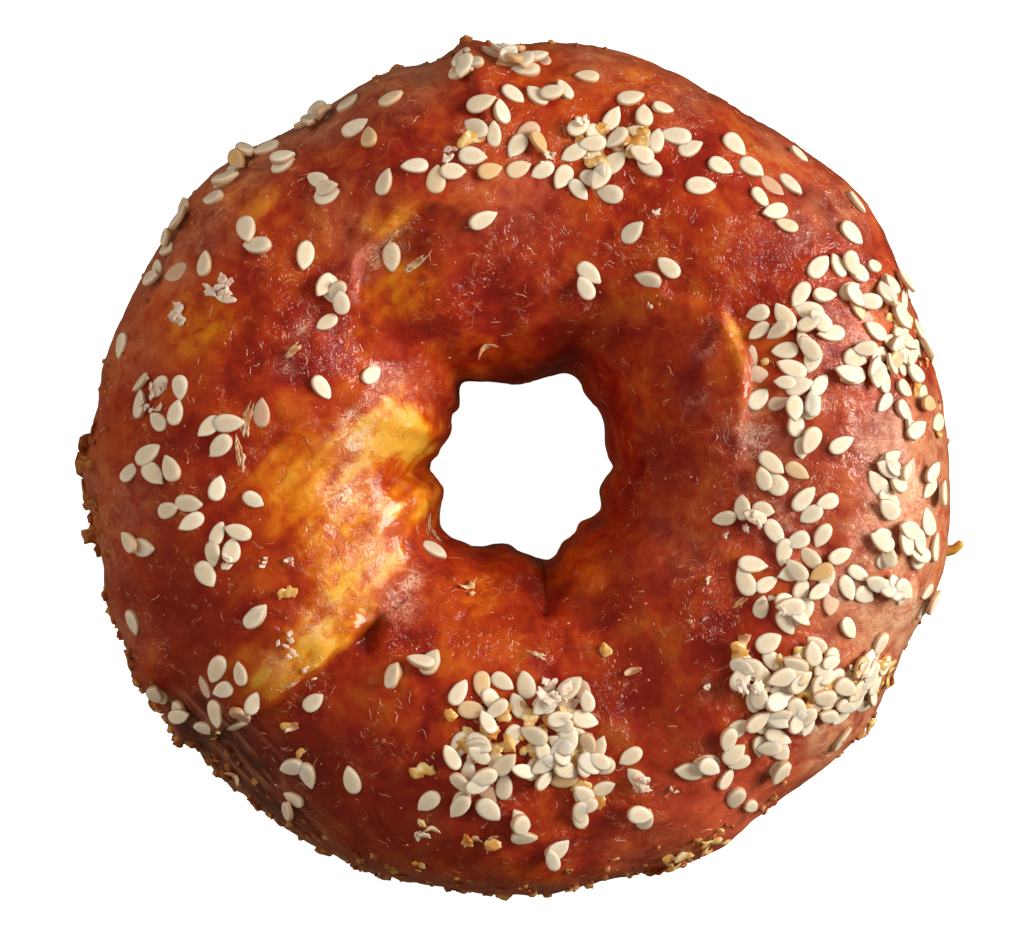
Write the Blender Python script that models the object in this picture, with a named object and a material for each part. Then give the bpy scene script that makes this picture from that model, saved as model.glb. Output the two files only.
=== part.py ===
"""A whole glazed bagel ring strewn with sesame seeds, in metres, +Z up, standing on its flat underside.

The skin is a torus whose points are moved to a measured outline, with the laps and creases of the
rolled dough as relief. The seeds are drawn patch by patch and joined to the skin as one solid.
"""

import math
import random

import bmesh
import bpy
import numpy as np
from mathutils import Matrix, Vector

MM = 0.001

# Driving sizes of the ring.
OUTER_RADIUS = 50.9 * MM
HOLE_RADIUS = 10.5 * MM
CROWN_HEIGHT = 33.0 * MM
WAIST_HEIGHT = 15.0 * MM
BASE_SINK = 4.0 * MM
TOP_FULLNESS = 0.92
BASE_FULLNESS = 0.84

# Facets round the ring, and round the dough's section.
AROUND = 88
ACROSS = 24

# Uneven outline of the hand-shaped ring: (angle in degrees, height in mm, width in degrees).
OUTLINE_BUMPS = (
    (36, 0.8, 9), (58, -0.3, 8), (90, -0.4, 5), (97, 0.6, 3), (103, -0.5, 3), (122, -2.9, 12),
    (150, -1.0, 13), (165, 0.5, 5), (181, 1.4, 6), (199, 0.6, 4), (209, 1.3, 4), (225, 0.9, 8),
    (252, 0.5, 5), (284, -1.2, 9), (297, 0.8, 7), (321, 1.3, 10), (345, 1.0, 8),
)
HOLE_BUMPS = (
    (32, 0.9, 12), (60, 2.4, 14), (94, -0.3, 12), (125, 1.4, 8), (142, 0.7, 6), (159, -1.4, 10),
    (172, -0.5, 6), (196, -0.6, 8), (219, 2.0, 13), (259, -1.6, 13), (290, 1.2, 8), (318, -0.6, 5),
    (333, 1.1, 8), (0, 0.6, 4),
)
CROWN_BUMPS = (
    (15, 0.6, 25), (75, -0.7, 20), (128, -1.1, 12), (165, 0.9, 22), (228, -1.3, 14), (275, 0.5, 25),
    (325, -0.3, 15),
)

# Edges where one layer of dough lies over the next, in mm in plan. The layer on the left of the line
# from start to end is on top: (start, end, bow to the left, lip height, lip reach, valley depth).
LAPS = (
    ((-43.0, -34.5), (-16.4, -17.7), -1.7, 1.5, 9.0, 1.1),
    ((-19.7, 21.1), (-8.5, 31.0), 2.0, 1.0, 6.0, 0.9),
    ((27.4, 7.0), (24.2, 19.3), -0.9, 1.1, 7.0, 0.5),
    ((25.2, 17.3), (16.5, 20.8), -0.6, 0.6, 6.0, 0.3),
    ((-7.5, 51.5), (-3.5, 39.0), 0.0, 0.9, 7.0, 0.4),
    ((-16.2, -17.2), (-17.0, -22.0), 0.3, 0.7, 1.6, 0.9),
    ((26.4, -4.0), (27.5, 8.0), 0.6, 0.45, 5.0, 0.3),
)
LAP_EDGE = 0.7
VALLEY_REACH = 3.2
LINE_END_FADE = 8
LINE_HALF_SPAN = 0.52

# Pressed-in and swollen places, in mm in plan: (x, y, height, radius).
SWELLINGS = (
    (-11.5, 6.0, 1.3, 5.0), (-11.5, -5.0, 0.8, 3.5), (-12.0, 21.5, 0.8, 4.5), (-20.5, 22.0, 0.5, 3.0),
    (-13.5, 24.8, -0.7, 3.5), (-17.5, -19.7, -0.7, 1.4), (5.0, 13.0, -1.1, 4.0),
    (-34.0, -37.0, -1.2, 5.0), (1.5, -33.0, 0.7, 8.0), (34.0, -25.0, 0.6, 7.0), (22.0, 9.0, 0.7, 5.0),
)

# Creases running out from the hole, in mm in plan: (start, end, depth, width).
CREASES = (
    ((2.6, -9.0), (3.2, -17.0), 1.7, 1.5),
    ((-9.5, 0.3), (-15.0, -2.0), 1.8, 1.3),
)

# Slow swells of the whole skin: (waves round the ring, waves round the section, height in mm, phase).
SWELLS = ((3, 1, 0.35, 0.6), (5, 2, 0.28, 2.1), (7, -2, 0.22, 4.0), (9, 3, 0.18, 1.3))

# The folds' relief fades out below the waist: this steep, from this share.
RELIEF_FADE = 2.5
RELIEF_AT_WAIST = 0.6

# Rough crumb along the rim of the underside.
RIM_LOW = 3.0 * MM
RIM_HIGH = 15.0 * MM
RIM_ROUGHNESS = 0.35 * MM

# Seeds that lie alone: (angle in degrees, radius in mm, the way the tip points in plan in degrees).
LONE_SEEDS = (
    (80, 47.2, 175), (115, 47.3, 60), (109, 45.6, 20), (115, 36.7, 60), (109, 37.1, 180), (147, 43.9, 80),
    (121, 28.8, 280), (143, 28.2, 205), (163, 49.5, 265), (158, 24.9, 310), (148, 20.3, 15),
    (168, 30.8, 90), (176, 35.1, 240), (184, 35.5, 65), (187, 31.4, 320), (199, 38.8, 305),
    (202, 48.7, 270), (229, 36.8, 30), (242, 41.6, 100), (225, 14.8, 290), (255, 40.3, 215),
    (280, 42.0, 100), (83, 45.2, 115), (73, 46.0, 15), (68, 46.0, 350), (56, 45.8, 310), (56, 42.7, 335),
    (52, 44.7, 315), (57, 39.5, 0), (48, 42.6, 305), (48, 49.7, 330), (46, 46.2, 300), (42, 42.5, 160),
    (38, 50.4, 290), (35, 47.8, 320), (64, 30.8, 40), (98, 29.5, 20), (4, 38.1, 25), (320, 50.5, 70),
    (334, 43.1, 300), (325, 35.9, 30),
)

# Where the rest lie: (angle in degrees, radius, half length round the ring, half width across it, how
# many), the lengths in mm in plan.
SEED_PATCHES = (
    (97, 48.2, 2.5, 1.5, 5), (90, 48.4, 3.6, 1.6, 11), (88, 44.2, 2.5, 1.2, 3), (115, 43.1, 1.0, 1.2, 2), (132, 47.8, 3.2, 1.1, 5),
    (128, 45.1, 1.2, 1.0, 2), (124, 39.9, 1.2, 2.8, 3), (143, 49.5, 1.2, 0.8, 2), (147, 48.0, 1.6, 0.8, 2),
    (140, 42.1, 1.0, 1.9, 2), (137, 31.0, 1.9, 1.4, 2), (167, 43.7, 1.2, 4.4, 3), (171, 40.1, 2.2, 6.5, 5),
    (179, 43.5, 2.3, 3.7, 4), (188, 40.2, 2.0, 1.8, 3), (194, 35.9, 2.1, 2.3, 4), (192, 45.4, 1.4, 0.8, 2),
    (211, 35.2, 1.3, 0.8, 2), (215, 42.0, 1.8, 3.0, 4), (214, 49.0, 2.8, 1.2, 4), (221, 44.6, 2.2, 3.8, 5),
    (238, 29.0, 1.0, 1.4, 2), (246, 25.5, 1.8, 0.6, 2), (234, 44.1, 1.4, 0.6, 2), (236, 48.0, 0.8, 1.3, 2),
    (260, 27.0, 2.4, 2.8, 4), (275, 28.2, 5.8, 1.2, 6), (276, 31.0, 4.8, 2.2, 7), (262, 33.2, 3.6, 1.5, 5),
    (277, 35.1, 3.0, 2.5, 8), (264, 37.9, 4.2, 2.6, 8), (285, 35.5, 1.6, 1.4, 4), (291, 37.8, 0.8, 1.9, 2),
    (283, 40.1, 2.2, 1.2, 3), (289, 44.2, 0.8, 1.4, 2), (271, 41.9, 0.9, 2.6, 3), (276, 45.5, 1.4, 0.6, 2),
    (312, 41.6, 1.7, 2.4, 3), (306, 42.9, 2.9, 3.1, 5), (312, 47.4, 1.2, 1.0, 2), (304, 48.1, 1.2, 1.3, 2), (301, 41.0, 1.6, 2.0, 2),
    (320, 37.1, 1.9, 2.8, 4), (327, 41.2, 2.2, 2.8, 5), (322, 43.1, 5.2, 3.1, 10), (331, 48.9, 2.5, 1.0, 3),
    (325, 48.5, 2.6, 1.9, 5), (318, 45.0, 1.2, 1.6, 3), (31, 41.5, 3.4, 5.7, 7), (24, 37.5, 2.8, 2.8, 6),
    (20, 31.8, 3.5, 3.2, 6), (17, 40.8, 1.4, 1.8, 3), (26, 48.5, 3.0, 2.0, 7), (18, 48.2, 3.6, 2.4, 11),
    (11, 46.7, 2.6, 3.7, 7), (6, 48.3, 0.9, 2.2, 3), (7, 33.3, 2.4, 1.8, 3), (1, 43.9, 0.8, 1.6, 2),
    (0, 31.5, 0.8, 2.8, 2), (351, 28.4, 1.6, 2.2, 3), (353, 34.9, 2.2, 1.9, 3), (354, 43.3, 1.4, 0.7, 2),
    (340, 31.4, 3.2, 3.2, 5), (333, 34.9, 2.7, 3.0, 6), (341, 40.7, 3.4, 2.8, 6), (350, 48.0, 2.4, 2.2, 6),
    (342, 47.2, 1.4, 0.7, 2), (342, 50.3, 2.6, 0.6, 3), (93, 39.0, 4.6, 4.7, 10), (77, 38.3, 4.0, 5.3, 10),
    (69, 41.0, 2.5, 4.0, 5), (63, 43.4, 1.2, 1.2, 2), (54, 28.1, 1.0, 1.8, 2), (69, 24.2, 0.8, 1.6, 2),
    (104, 35.5, 1.6, 1.2, 2), (119, 47.8, 3.2, 1.2, 7), (136, 47.4, 2.6, 1.2, 2), (134, 35.0, 1.4, 1.0, 1), (150, 47.5, 3.0, 1.5, 3), (137, 29.5, 1.6, 1.0, 2),
    (16, 34.5, 3.0, 2.4, 7), (0, 30.0, 2.0, 1.6, 2), (1, 44.8, 1.8, 1.6, 2), (357, 48.2, 2.0, 1.4, 3),
    (350, 44.2, 2.6, 1.8, 4), (344, 44.5, 3.0, 1.5, 5), (345, 35.0, 3.0, 2.0, 3), (345, 24.8, 1.2, 0.8, 1), (75, 34.5, 2.4, 1.6, 3),
    (332, 48.0, 2.4, 1.2, 4), (331, 30.0, 2.2, 1.4, 1), (318, 35.5, 2.0, 1.2, 2), (30, 34.5, 2.6, 2.2, 3), (28, 45.0, 3.0, 2.4, 5), (14, 44.5, 2.6, 1.6, 3), (88, 35.5, 2.0, 1.0, 1), (270, 25.6, 2.6, 0.8, 2),
    (358, 44.0, 2.4, 1.8, 3), (316, 41.5, 3.0, 3.0, 4), (314, 44.5, 2.4, 1.4, 3), (46, 44.0, 2.0, 1.6, 2),
)
SEED_LENGTH = 3.35 * MM
SEED_WIDTH = 2.1 * MM
SEED_THICKNESS = 1.3 * MM
SEED_LIFT = 0.12 * MM
SEED_TAPER = 0.38
SEED_SIDES = 7
SEED_RINGS = 3
SEED_SPACING = 2.1 * MM
SEED_LAYER = 0.85 * MM
SIZE_SPREAD = 0.12
TILT_SPREAD = 0.12
PLACE_TRIES = 30
RIM_SHARE = 0.985
SMALLEST_IN_SOLID = 1.0305
DRAW = 41

# Crumbs that stand out of the rim: (plan angle, section angle, both in degrees, size in mm), and how
# much longer and flatter than round they are.
RIM_CRUMBS = (
    (97, -4, 1.8), (181, 0, 2.4), (190, -4, 2.4), (209, 0, 2.2), (293, -4, 2.8), (298, 0, 2.0),
    (318, 0, 2.0), (350, 2, 2.2),
)
CRUMB_LENGTH = 1.35
CRUMB_THICKNESS = 0.65
CRUMB_RAGGED = (0.75, 1.15)

SMOOTH_UNDER = 35.0


def bumps(angle, rows):
    """Sum of smooth swellings round the ring at these angles in degrees, in metres."""
    total = np.zeros_like(angle)
    for centre, height, width in rows:
        off = (angle - centre + 180.0) % 360.0 - 180.0
        total += height * MM * np.exp(-((off / width) ** 2))
    return total


def line_offsets(x, y, start, end, bow):
    """(share of the way along a bowed line, distance to the left of it in mm) of points in plan."""
    start, end = np.array(start), np.array(end)
    length = np.hypot(*(end - start))
    ux, uy = (end - start) / length
    along = ((x - start[0]) * ux + (y - start[1]) * uy) / length
    left = (y - start[1]) * ux - (x - start[0]) * uy - 4.0 * bow * along * (1.0 - along)
    return along, left


def along_fade(along):
    """1 along the middle of a line, falling smoothly to 0 past its ends."""
    return np.exp(-np.abs((along - 0.5) / LINE_HALF_SPAN) ** LINE_END_FADE)


def lap_relief(x, y):
    """Height of the dough's overlapping layers at points in plan, in mm."""
    total = np.zeros_like(x)
    for start, end, bow, lip, reach, valley in LAPS:
        along, left = line_offsets(x, y, start, end, bow)
        over = 0.5 + 0.5 * np.tanh(left / LAP_EDGE)
        raised = lip * over * np.exp(-np.abs(left) / reach)
        sunk = valley * (1.0 - over) * np.exp(-np.abs(left) / VALLEY_REACH)
        total += (raised - sunk) * along_fade(along)
    return total


def spot_relief(x, y):
    """Height of the swellings, dents and creases at points in plan, in mm."""
    total = np.zeros_like(x)
    for sx, sy, height, radius in SWELLINGS:
        total += height * np.exp(-((x - sx) ** 2 + (y - sy) ** 2) / radius**2)
    for start, end, depth, width in CREASES:
        along, left = line_offsets(x, y, start, end, 0.0)
        total -= depth * np.exp(-np.abs(left) / width) * along_fade(along)
    return total


def skin_points(around, across):
    """Points of the skin. around is the plan angle in degrees, and across the angle round the dough's
    section in degrees: 0 outside, 90 at the crown, 180 in the hole, 270 underneath."""
    outer = OUTER_RADIUS + bumps(around, OUTLINE_BUMPS)
    hole = HOLE_RADIUS + bumps(around, HOLE_BUMPS)
    crown = CROWN_HEIGHT + bumps(around, CROWN_BUMPS)
    middle, half = (outer + hole) / 2.0, (outer - hole) / 2.0
    turn, section = np.radians(around), np.radians(across)
    c, s = np.cos(section), np.sin(section)
    fullness = np.where(s > 0.0, TOP_FULLNESS, BASE_FULLNESS)
    out = np.sign(c) * np.abs(c) ** fullness
    up = np.sign(s) * np.abs(s) ** fullness
    radius = middle + half * out
    height = WAIST_HEIGHT + np.where(s > 0.0, crown - WAIST_HEIGHT, WAIST_HEIGHT + BASE_SINK) * up
    x, y = radius * np.cos(turn) / MM, radius * np.sin(turn) / MM
    upper = np.clip(s * RELIEF_FADE + RELIEF_AT_WAIST, 0.0, 1.0)
    relief = (lap_relief(x, y) + spot_relief(x, y)) * upper
    for waves_round, waves_across, swell, phase in SWELLS:
        relief += swell * np.sin(waves_round * turn + waves_across * section + phase)
    radius = radius + relief * MM * c
    height = np.maximum(height + relief * MM * s, 0.0)
    return np.stack([radius * np.cos(turn), radius * np.sin(turn), height], axis=-1)


def section_angle(around, radius):
    """The section angle, on the upper side, of the point this far from the axis in plan."""
    outer = OUTER_RADIUS + bumps(np.array([around]), OUTLINE_BUMPS)[0]
    hole = HOLE_RADIUS + bumps(np.array([around]), HOLE_BUMPS)[0]
    share = (radius - (outer + hole) / 2.0) / ((outer - hole) / 2.0)
    share = max(-RIM_SHARE, min(RIM_SHARE, share))
    return math.degrees(math.acos(math.copysign(abs(share) ** (1.0 / TOP_FULLNESS), share)))


def skin_frame(around, radius):
    """(point, direction round the ring, direction across it, outward normal) of the skin there."""
    across = section_angle(around, radius)
    step = 2.0
    angles = np.array([around, around - step, around + step, around, around], dtype=float)
    sections = np.array([across, across, across, across - step, across + step], dtype=float)
    p = [Vector(v) for v in skin_points(angles, sections)]
    round_ring = (p[2] - p[1]).normalized()
    normal = round_ring.cross(p[4] - p[3]).normalized()
    if normal.z < 0.0:
        normal.negate()
    return p[0], round_ring, normal.cross(round_ring).normalized(), normal


def draw_seeds():
    """Every seed as (plan angle, plan radius, heading, size, tilt, lift): the lone ones, then patch by
    patch. One that finds no free place lies on those already there."""
    dice = random.Random(DRAW)
    seeds, places = [], []

    def lay(angle, radius, heading, lift):
        size = 1.0 + dice.uniform(-SIZE_SPREAD, SIZE_SPREAD)
        tilt = dice.gauss(0.0, TILT_SPREAD)
        places.append(Vector((radius * math.cos(angle), radius * math.sin(angle))))
        seeds.append((math.degrees(angle), radius, heading, size, tilt, lift))

    for angle, radius, pointing in LONE_SEEDS:
        lay(math.radians(angle), radius * MM, math.radians(pointing - angle - 90.0), SEED_LIFT)
    for angle, radius, half_length, half_width, count in SEED_PATCHES:
        for _ in range(count):
            lift = SEED_LIFT + SEED_LAYER
            for _ in range(PLACE_TRIES):
                turn, share = dice.uniform(0.0, 2.0 * math.pi), math.sqrt(dice.random())
                r = (radius + half_width * share * math.sin(turn)) * MM
                a = math.radians(angle) + half_length * share * math.cos(turn) * MM / r
                place = Vector((r * math.cos(a), r * math.sin(a)))
                if all((place - other).length > SEED_SPACING for other in places):
                    lift = SEED_LIFT
                    break
            lay(a, r, dice.uniform(0.0, 2.0 * math.pi), lift)
    return seeds


def clear_scene():
    for obj in list(bpy.data.objects):
        bpy.data.objects.remove(obj, do_unlink=True)


def glazed_crust():
    """The material of the baked and glazed skin."""
    material = bpy.data.materials.new("glazed_crust")
    material.use_nodes = True
    shader = material.node_tree.nodes["Principled BSDF"]
    shader.inputs["Base Color"].default_value = (0.35, 0.06, 0.015, 1.0)
    shader.inputs["Roughness"].default_value = 0.32
    shader.inputs["Metallic"].default_value = 0.0
    return material


def make_ring(collection):
    """The dough ring: a torus whose points are moved onto the skin."""
    tube = (OUTER_RADIUS - HOLE_RADIUS) / 2.0
    bpy.ops.mesh.primitive_torus_add(
        major_segments=AROUND, minor_segments=ACROSS, major_radius=HOLE_RADIUS + tube, minor_radius=tube
    )
    ring = bpy.context.object
    ring.name = "bagel"
    ring.data.name = "bagel"
    for owner in list(ring.users_collection):
        owner.objects.unlink(ring)
    collection.objects.link(ring)
    points = np.array([v.co for v in ring.data.vertices])
    around = np.degrees(np.arctan2(points[:, 1], points[:, 0]))
    spread = np.hypot(points[:, 0], points[:, 1]) - (HOLE_RADIUS + tube)
    across = np.degrees(np.arctan2(points[:, 2], spread))
    moved = skin_points(around, across)
    dice = random.Random(DRAW)
    for vertex, place in zip(ring.data.vertices, moved):
        rough = dice.uniform(-RIM_ROUGHNESS, RIM_ROUGHNESS)
        if RIM_LOW < place[2] < RIM_HIGH:
            place[:2] *= 1.0 + rough / np.hypot(place[0], place[1])
        vertex.co = place
    ring.data.update()
    return ring


def shaped_copy(name, cage, collection, shape, placing):
    """A helper object from a bmesh whose points are shaped, then placed by a matrix."""
    for vertex in cage.verts:
        vertex.co = shape(vertex.co)
    mesh = bpy.data.meshes.new(name)
    cage.to_mesh(mesh)
    cage.free()
    mesh.transform(placing)
    piece = bpy.data.objects.new(name, mesh)
    piece.hide_render = True
    piece.display_type = "WIRE"
    collection.objects.link(piece)
    return piece


def seed_shape(co):
    """A flat drop, pointed at +X, from a unit ball."""
    return Vector((
        co.x * SEED_LENGTH / 2.0,
        co.y * SEED_WIDTH / 2.0 * (1.0 - SEED_TAPER * co.x),
        co.z * SEED_THICKNESS / 2.0,
    ))


def make_seed(number, seed, collection):
    angle, radius, heading, size, tilt, lift = seed
    place, round_ring, across, normal = skin_frame(angle, radius)
    cage = bmesh.new()
    bmesh.ops.create_uvsphere(cage, u_segments=SEED_SIDES, v_segments=SEED_RINGS, radius=1.0)
    widest = max(v.co.x for v in cage.verts)
    bmesh.ops.scale(cage, vec=(1.0 / widest, 1.0 / widest, 1.0), verts=cage.verts)
    base = Matrix((round_ring, across, normal)).transposed().to_4x4()
    turned = Matrix.Rotation(heading, 4, "Z") @ Matrix.Rotation(tilt, 4, "Y")
    placing = Matrix.Translation(place + normal * lift) @ base @ turned @ Matrix.Scale(size, 4)
    return shaped_copy(f"seed_{number:03d}", cage, collection, seed_shape, placing)


def make_crumb(number, crumb, collection):
    """A ragged flake of crust, lying along the rim."""
    around, across, size = crumb
    dice = random.Random(DRAW + number)

    def ragged(co):
        return Vector((co.x, co.y * CRUMB_LENGTH, co.z * CRUMB_THICKNESS)) * dice.uniform(*CRUMB_RAGGED)

    cage = bmesh.new()
    bmesh.ops.create_icosphere(cage, subdivisions=1, radius=size * MM / 2.0)
    place = Vector(skin_points(np.array([around * 1.0]), np.array([across * 1.0]))[0])
    placing = Matrix.Translation(place) @ Matrix.Rotation(math.radians(around), 4, "Z")
    return shaped_copy(f"crumb_{number:02d}", cage, collection, ragged, placing)


def join_to(ring, toppings):
    """Joins every topping to the ring with one Boolean union, then removes the toppings."""
    union = ring.modifiers.new("toppings", "BOOLEAN")
    union.operation = "UNION"
    union.operand_type = "COLLECTION"
    union.collection = toppings
    union.solver = "MANIFOLD"
    bpy.context.view_layer.objects.active = ring
    bpy.ops.object.modifier_apply(modifier=union.name)
    for piece in list(toppings.objects):
        bpy.data.objects.remove(piece, do_unlink=True)
    bpy.data.collections.remove(toppings)


def drop_scraps(ring):
    """Keeps the one body that most faces belong to, and drops any loose scrap of a topping."""
    cage = bmesh.new()
    cage.from_mesh(ring.data)
    left, bodies = set(cage.verts), []
    while left:
        body, edge = set(), {left.pop()}
        while edge:
            body |= edge
            edge = {e.other_vert(v) for v in edge for e in v.link_edges} - body
        left -= body
        bodies.append(body)
    bodies.sort(key=len)
    bmesh.ops.delete(cage, geom=[v for body in bodies[:-1] for v in body], context="VERTS")
    cage.to_mesh(ring.data)
    cage.free()


def main():
    clear_scene()
    bagel = bpy.data.collections.new("sesame_bagel")
    toppings = bpy.data.collections.new("toppings")
    for collection in (bagel, toppings):
        bpy.context.scene.collection.children.link(collection)
    ring = make_ring(bagel)
    kept = [seed for seed in draw_seeds() if seed[3] >= SMALLEST_IN_SOLID]
    for number, seed in enumerate(kept):
        make_seed(number, seed, toppings)
    for number, crumb in enumerate(RIM_CRUMBS):
        make_crumb(number, crumb, toppings)
    join_to(ring, toppings)
    drop_scraps(ring)
    ring.data.materials.clear()
    ring.data.materials.append(glazed_crust())
    ring.data.shade_smooth()
    ring.data.set_sharp_from_angle(angle=math.radians(SMOOTH_UNDER))
    print(len(kept), "seeds,", len(ring.data.polygons), "faces")


main()
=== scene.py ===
"""A glazed bagel ring strewn with sesame seeds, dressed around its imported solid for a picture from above.

Metres, +Z up. The ring lies on its flat underside, the picture's top is +Y and its right is +X.
"""

import math
import random

import bpy
import numpy as np
from mathutils import Matrix, Vector, noise
from mathutils.bvhtree import BVHTree


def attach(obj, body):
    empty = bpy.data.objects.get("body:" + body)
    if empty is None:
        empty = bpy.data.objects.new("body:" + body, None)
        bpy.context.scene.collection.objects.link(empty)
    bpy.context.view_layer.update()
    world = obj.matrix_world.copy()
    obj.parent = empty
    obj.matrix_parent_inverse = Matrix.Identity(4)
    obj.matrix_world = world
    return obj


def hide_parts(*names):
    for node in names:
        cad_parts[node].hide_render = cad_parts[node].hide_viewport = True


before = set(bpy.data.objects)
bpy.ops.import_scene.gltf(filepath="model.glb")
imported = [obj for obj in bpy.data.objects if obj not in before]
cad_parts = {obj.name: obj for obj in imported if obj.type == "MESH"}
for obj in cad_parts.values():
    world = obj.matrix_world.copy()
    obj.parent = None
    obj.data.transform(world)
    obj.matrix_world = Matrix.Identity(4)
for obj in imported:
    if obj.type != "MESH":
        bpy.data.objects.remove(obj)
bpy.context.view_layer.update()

# --- The baked ring ---------------------------------------------------------------------------------
# A rope of wheat dough wrapped in its own stretched skin, joined into a ring, baked on a sheet and
# brushed with syrup. The skin is one closed mesh: a superellipse section swept round an uneven outline,
# with the laps, creases and fine wrinkles of the dough pushed in or out along its normal.

MM = 0.001
OUTER_RADIUS, HOLE_RADIUS = 50.9 * MM, 10.5 * MM
# The section's lower half would reach this far below the sheet, and is cut off flat on it.
CROWN_HEIGHT, WAIST_HEIGHT, BASE_SINK = 33.0 * MM, 15.0 * MM, 4.0 * MM
# The section's powers: 1 is an ellipse, and less is fuller.
TOP_FULLNESS, BASE_FULLNESS = 0.92, 0.84

# Uneven outline of the hand-shaped ring: (angle in degrees, height in mm, width in degrees).
OUTLINE_BUMPS = (
    (36, 0.8, 9), (58, -0.3, 8), (90, -0.4, 5), (97, 0.6, 3), (103, -0.5, 3), (122, -2.9, 12),
    (150, -1, 13), (165, 0.5, 5), (181, 1.4, 6), (199, 0.6, 4), (209, 1.3, 4), (225, 0.9, 8),
    (252, 0.5, 5), (284, -1.2, 9), (297, 0.8, 7), (321, 1.3, 10), (345, 1, 8),
)
HOLE_BUMPS = (
    (32, 0.9, 12), (60, 2.4, 14), (94, -0.3, 12), (125, 1.4, 8), (142, 0.7, 6), (159, -1.4, 10),
    (172, -0.5, 6), (196, -0.6, 8), (219, 2, 13), (259, -1.6, 13), (290, 1.2, 8), (318, -0.6, 5),
    (333, 1.1, 8), (0, 0.6, 4),
)
CROWN_BUMPS = (
    (15, 0.6, 25), (75, -0.7, 20), (128, -1.1, 12), (165, 0.9, 22), (228, -1.3, 14), (275, 0.5, 25),
    (325, -0.3, 15),
)

# Edges where one layer of dough lies over the next, in mm in plan. The layer on the left of the line
# from start to end is on top: (start, end, bow to the left, lip height, lip reach, valley depth).
LAPS = (
    ((-43, -34.5), (-16.4, -17.7), -1.7, 1.7, 8, 1.1), ((-19.7, 21.1), (-8.5, 31), 2, 1.2, 5, 1),
    ((27.4, 7), (24.2, 19.3), -0.9, 1.1, 6, 0.5), ((25.2, 17.3), (16.5, 20.8), -0.6, 0.6, 6, 0.3),
    ((-7.5, 51.5), (-3.5, 39), 0, 0.9, 7, 0.4), ((-16.2, -17.2), (-17, -22), 0.3, 0.7, 1.6, 0.9),
    ((26.4, -4), (27.5, 8), 0.6, 0.45, 5, 0.3),
)
# How soft a lap's edge is, how far it wanders and over what length, and the width of its valley, in mm.
LAP_EDGE, LAP_WANDER, LAP_WANDER_SIZE, VALLEY_REACH = 0.3, 0.7, 3.0, 3.2
# A line fades past this share of its way from its middle, this sharply.
LINE_HALF_SPAN, LINE_END_FADE = 0.52, 8

# Pressed-in and swollen places, in mm: (x, y, radius, height).
SWELLINGS = (
    (-11.5, 6, 5, 1.3), (-11.5, -5, 3.5, 0.8), (-12, 21.5, 4.5, 0.8), (-20.5, 22, 3, 0.5),
    (-13.5, 24.8, 3.5, -0.7), (-17.5, -19.7, 1.4, -0.7), (5, 13, 4, -1.1), (-34, -37, 5, -1.2),
    (1.5, -33, 8, 0.7), (34, -25, 7, 0.6), (22, 9, 5, 0.7),
)

# Creases running out from the hole, in mm in plan: (start, end, depth, width).
CREASES = (
    ((2.6, -9), (3.2, -17), 1.7, 1.5), ((-9.5, 0.3), (-15, -2), 1.8, 1.3),
)

# Slow swells of the whole skin: (waves round the ring, waves round the section, height in mm, phase).
SWELLS = ((3, 1, 0.35, 0.6), (5, 2, 0.28, 2.1), (7, -2, 0.22, 4.0), (9, 3, 0.18, 1.3))

# The folds' relief fades out below the waist: this steep, from this share.
RELIEF_FADE, RELIEF_AT_WAIST = 2.5, 0.6
# How far apart two draws of the same noise are taken, in features.
DRAW_STEP = 17.31


def bumps(angle, rows):
    """Sum of smooth swellings round the ring at these angles in degrees, in metres."""
    total = np.zeros_like(angle)
    for centre, height, width in rows:
        off = (angle - centre + 180.0) % 360.0 - 180.0
        total += height * MM * np.exp(-((off / width) ** 2))
    return total


def noise_at(points, draw):
    """Smooth noise from about -1 to 1 at points already scaled so that one unit is one feature. Each draw
    is a pattern of its own."""
    moved = points + draw * DRAW_STEP
    return np.array([noise.noise(p) for p in moved.reshape(-1, 3).tolist()]).reshape(points.shape[:-1])


def line_offsets(x, y, start, end, bow):
    """(share of the way along a bowed line, distance to the left of it in mm) of points in plan."""
    start, end = np.array(start), np.array(end)
    length = np.hypot(*(end - start))
    ux, uy = (end - start) / length
    along = ((x - start[0]) * ux + (y - start[1]) * uy) / length
    left = (y - start[1]) * ux - (x - start[0]) * uy - 4.0 * bow * along * (1.0 - along)
    return along, left


def along_fade(along):
    """1 along the middle of a line, falling smoothly to 0 past its ends."""
    return np.exp(-np.abs((along - 0.5) / LINE_HALF_SPAN) ** LINE_END_FADE)


def lap_relief(x, y):
    """Height of the dough's overlapping layers at points in plan, in mm."""
    total = np.zeros_like(x)
    in_plan = np.stack([x, y, np.zeros_like(x)], axis=-1)
    wander = LAP_WANDER * noise_at(in_plan / LAP_WANDER_SIZE, draw=31)
    for start, end, bow, lip, reach, valley in LAPS:
        along, left = line_offsets(x, y, start, end, bow)
        left = left + wander
        over = 0.5 + 0.5 * np.tanh(left / LAP_EDGE)
        raised = lip * over * np.exp(-np.abs(left) / reach)
        sunk = valley * (1.0 - over) * np.exp(-np.abs(left) / VALLEY_REACH)
        total += (raised - sunk) * along_fade(along)
    return total


def spot_sum(x, y, rows):
    """Sum of smooth round spots at points in plan: (x, y, radius, height or share), in mm."""
    total = np.zeros_like(x)
    for spot_x, spot_y, radius, share in rows:
        total += share * np.exp(-((x - spot_x) ** 2 + (y - spot_y) ** 2) / radius**2)
    return total


def spot_relief(x, y):
    """Height of the swellings, dents and creases at points in plan, in mm."""
    total = spot_sum(x, y, SWELLINGS)
    for start, end, depth, width in CREASES:
        along, left = line_offsets(x, y, start, end, 0.0)
        total -= depth * np.exp(-np.abs(left) / width) * along_fade(along)
    return total


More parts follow.
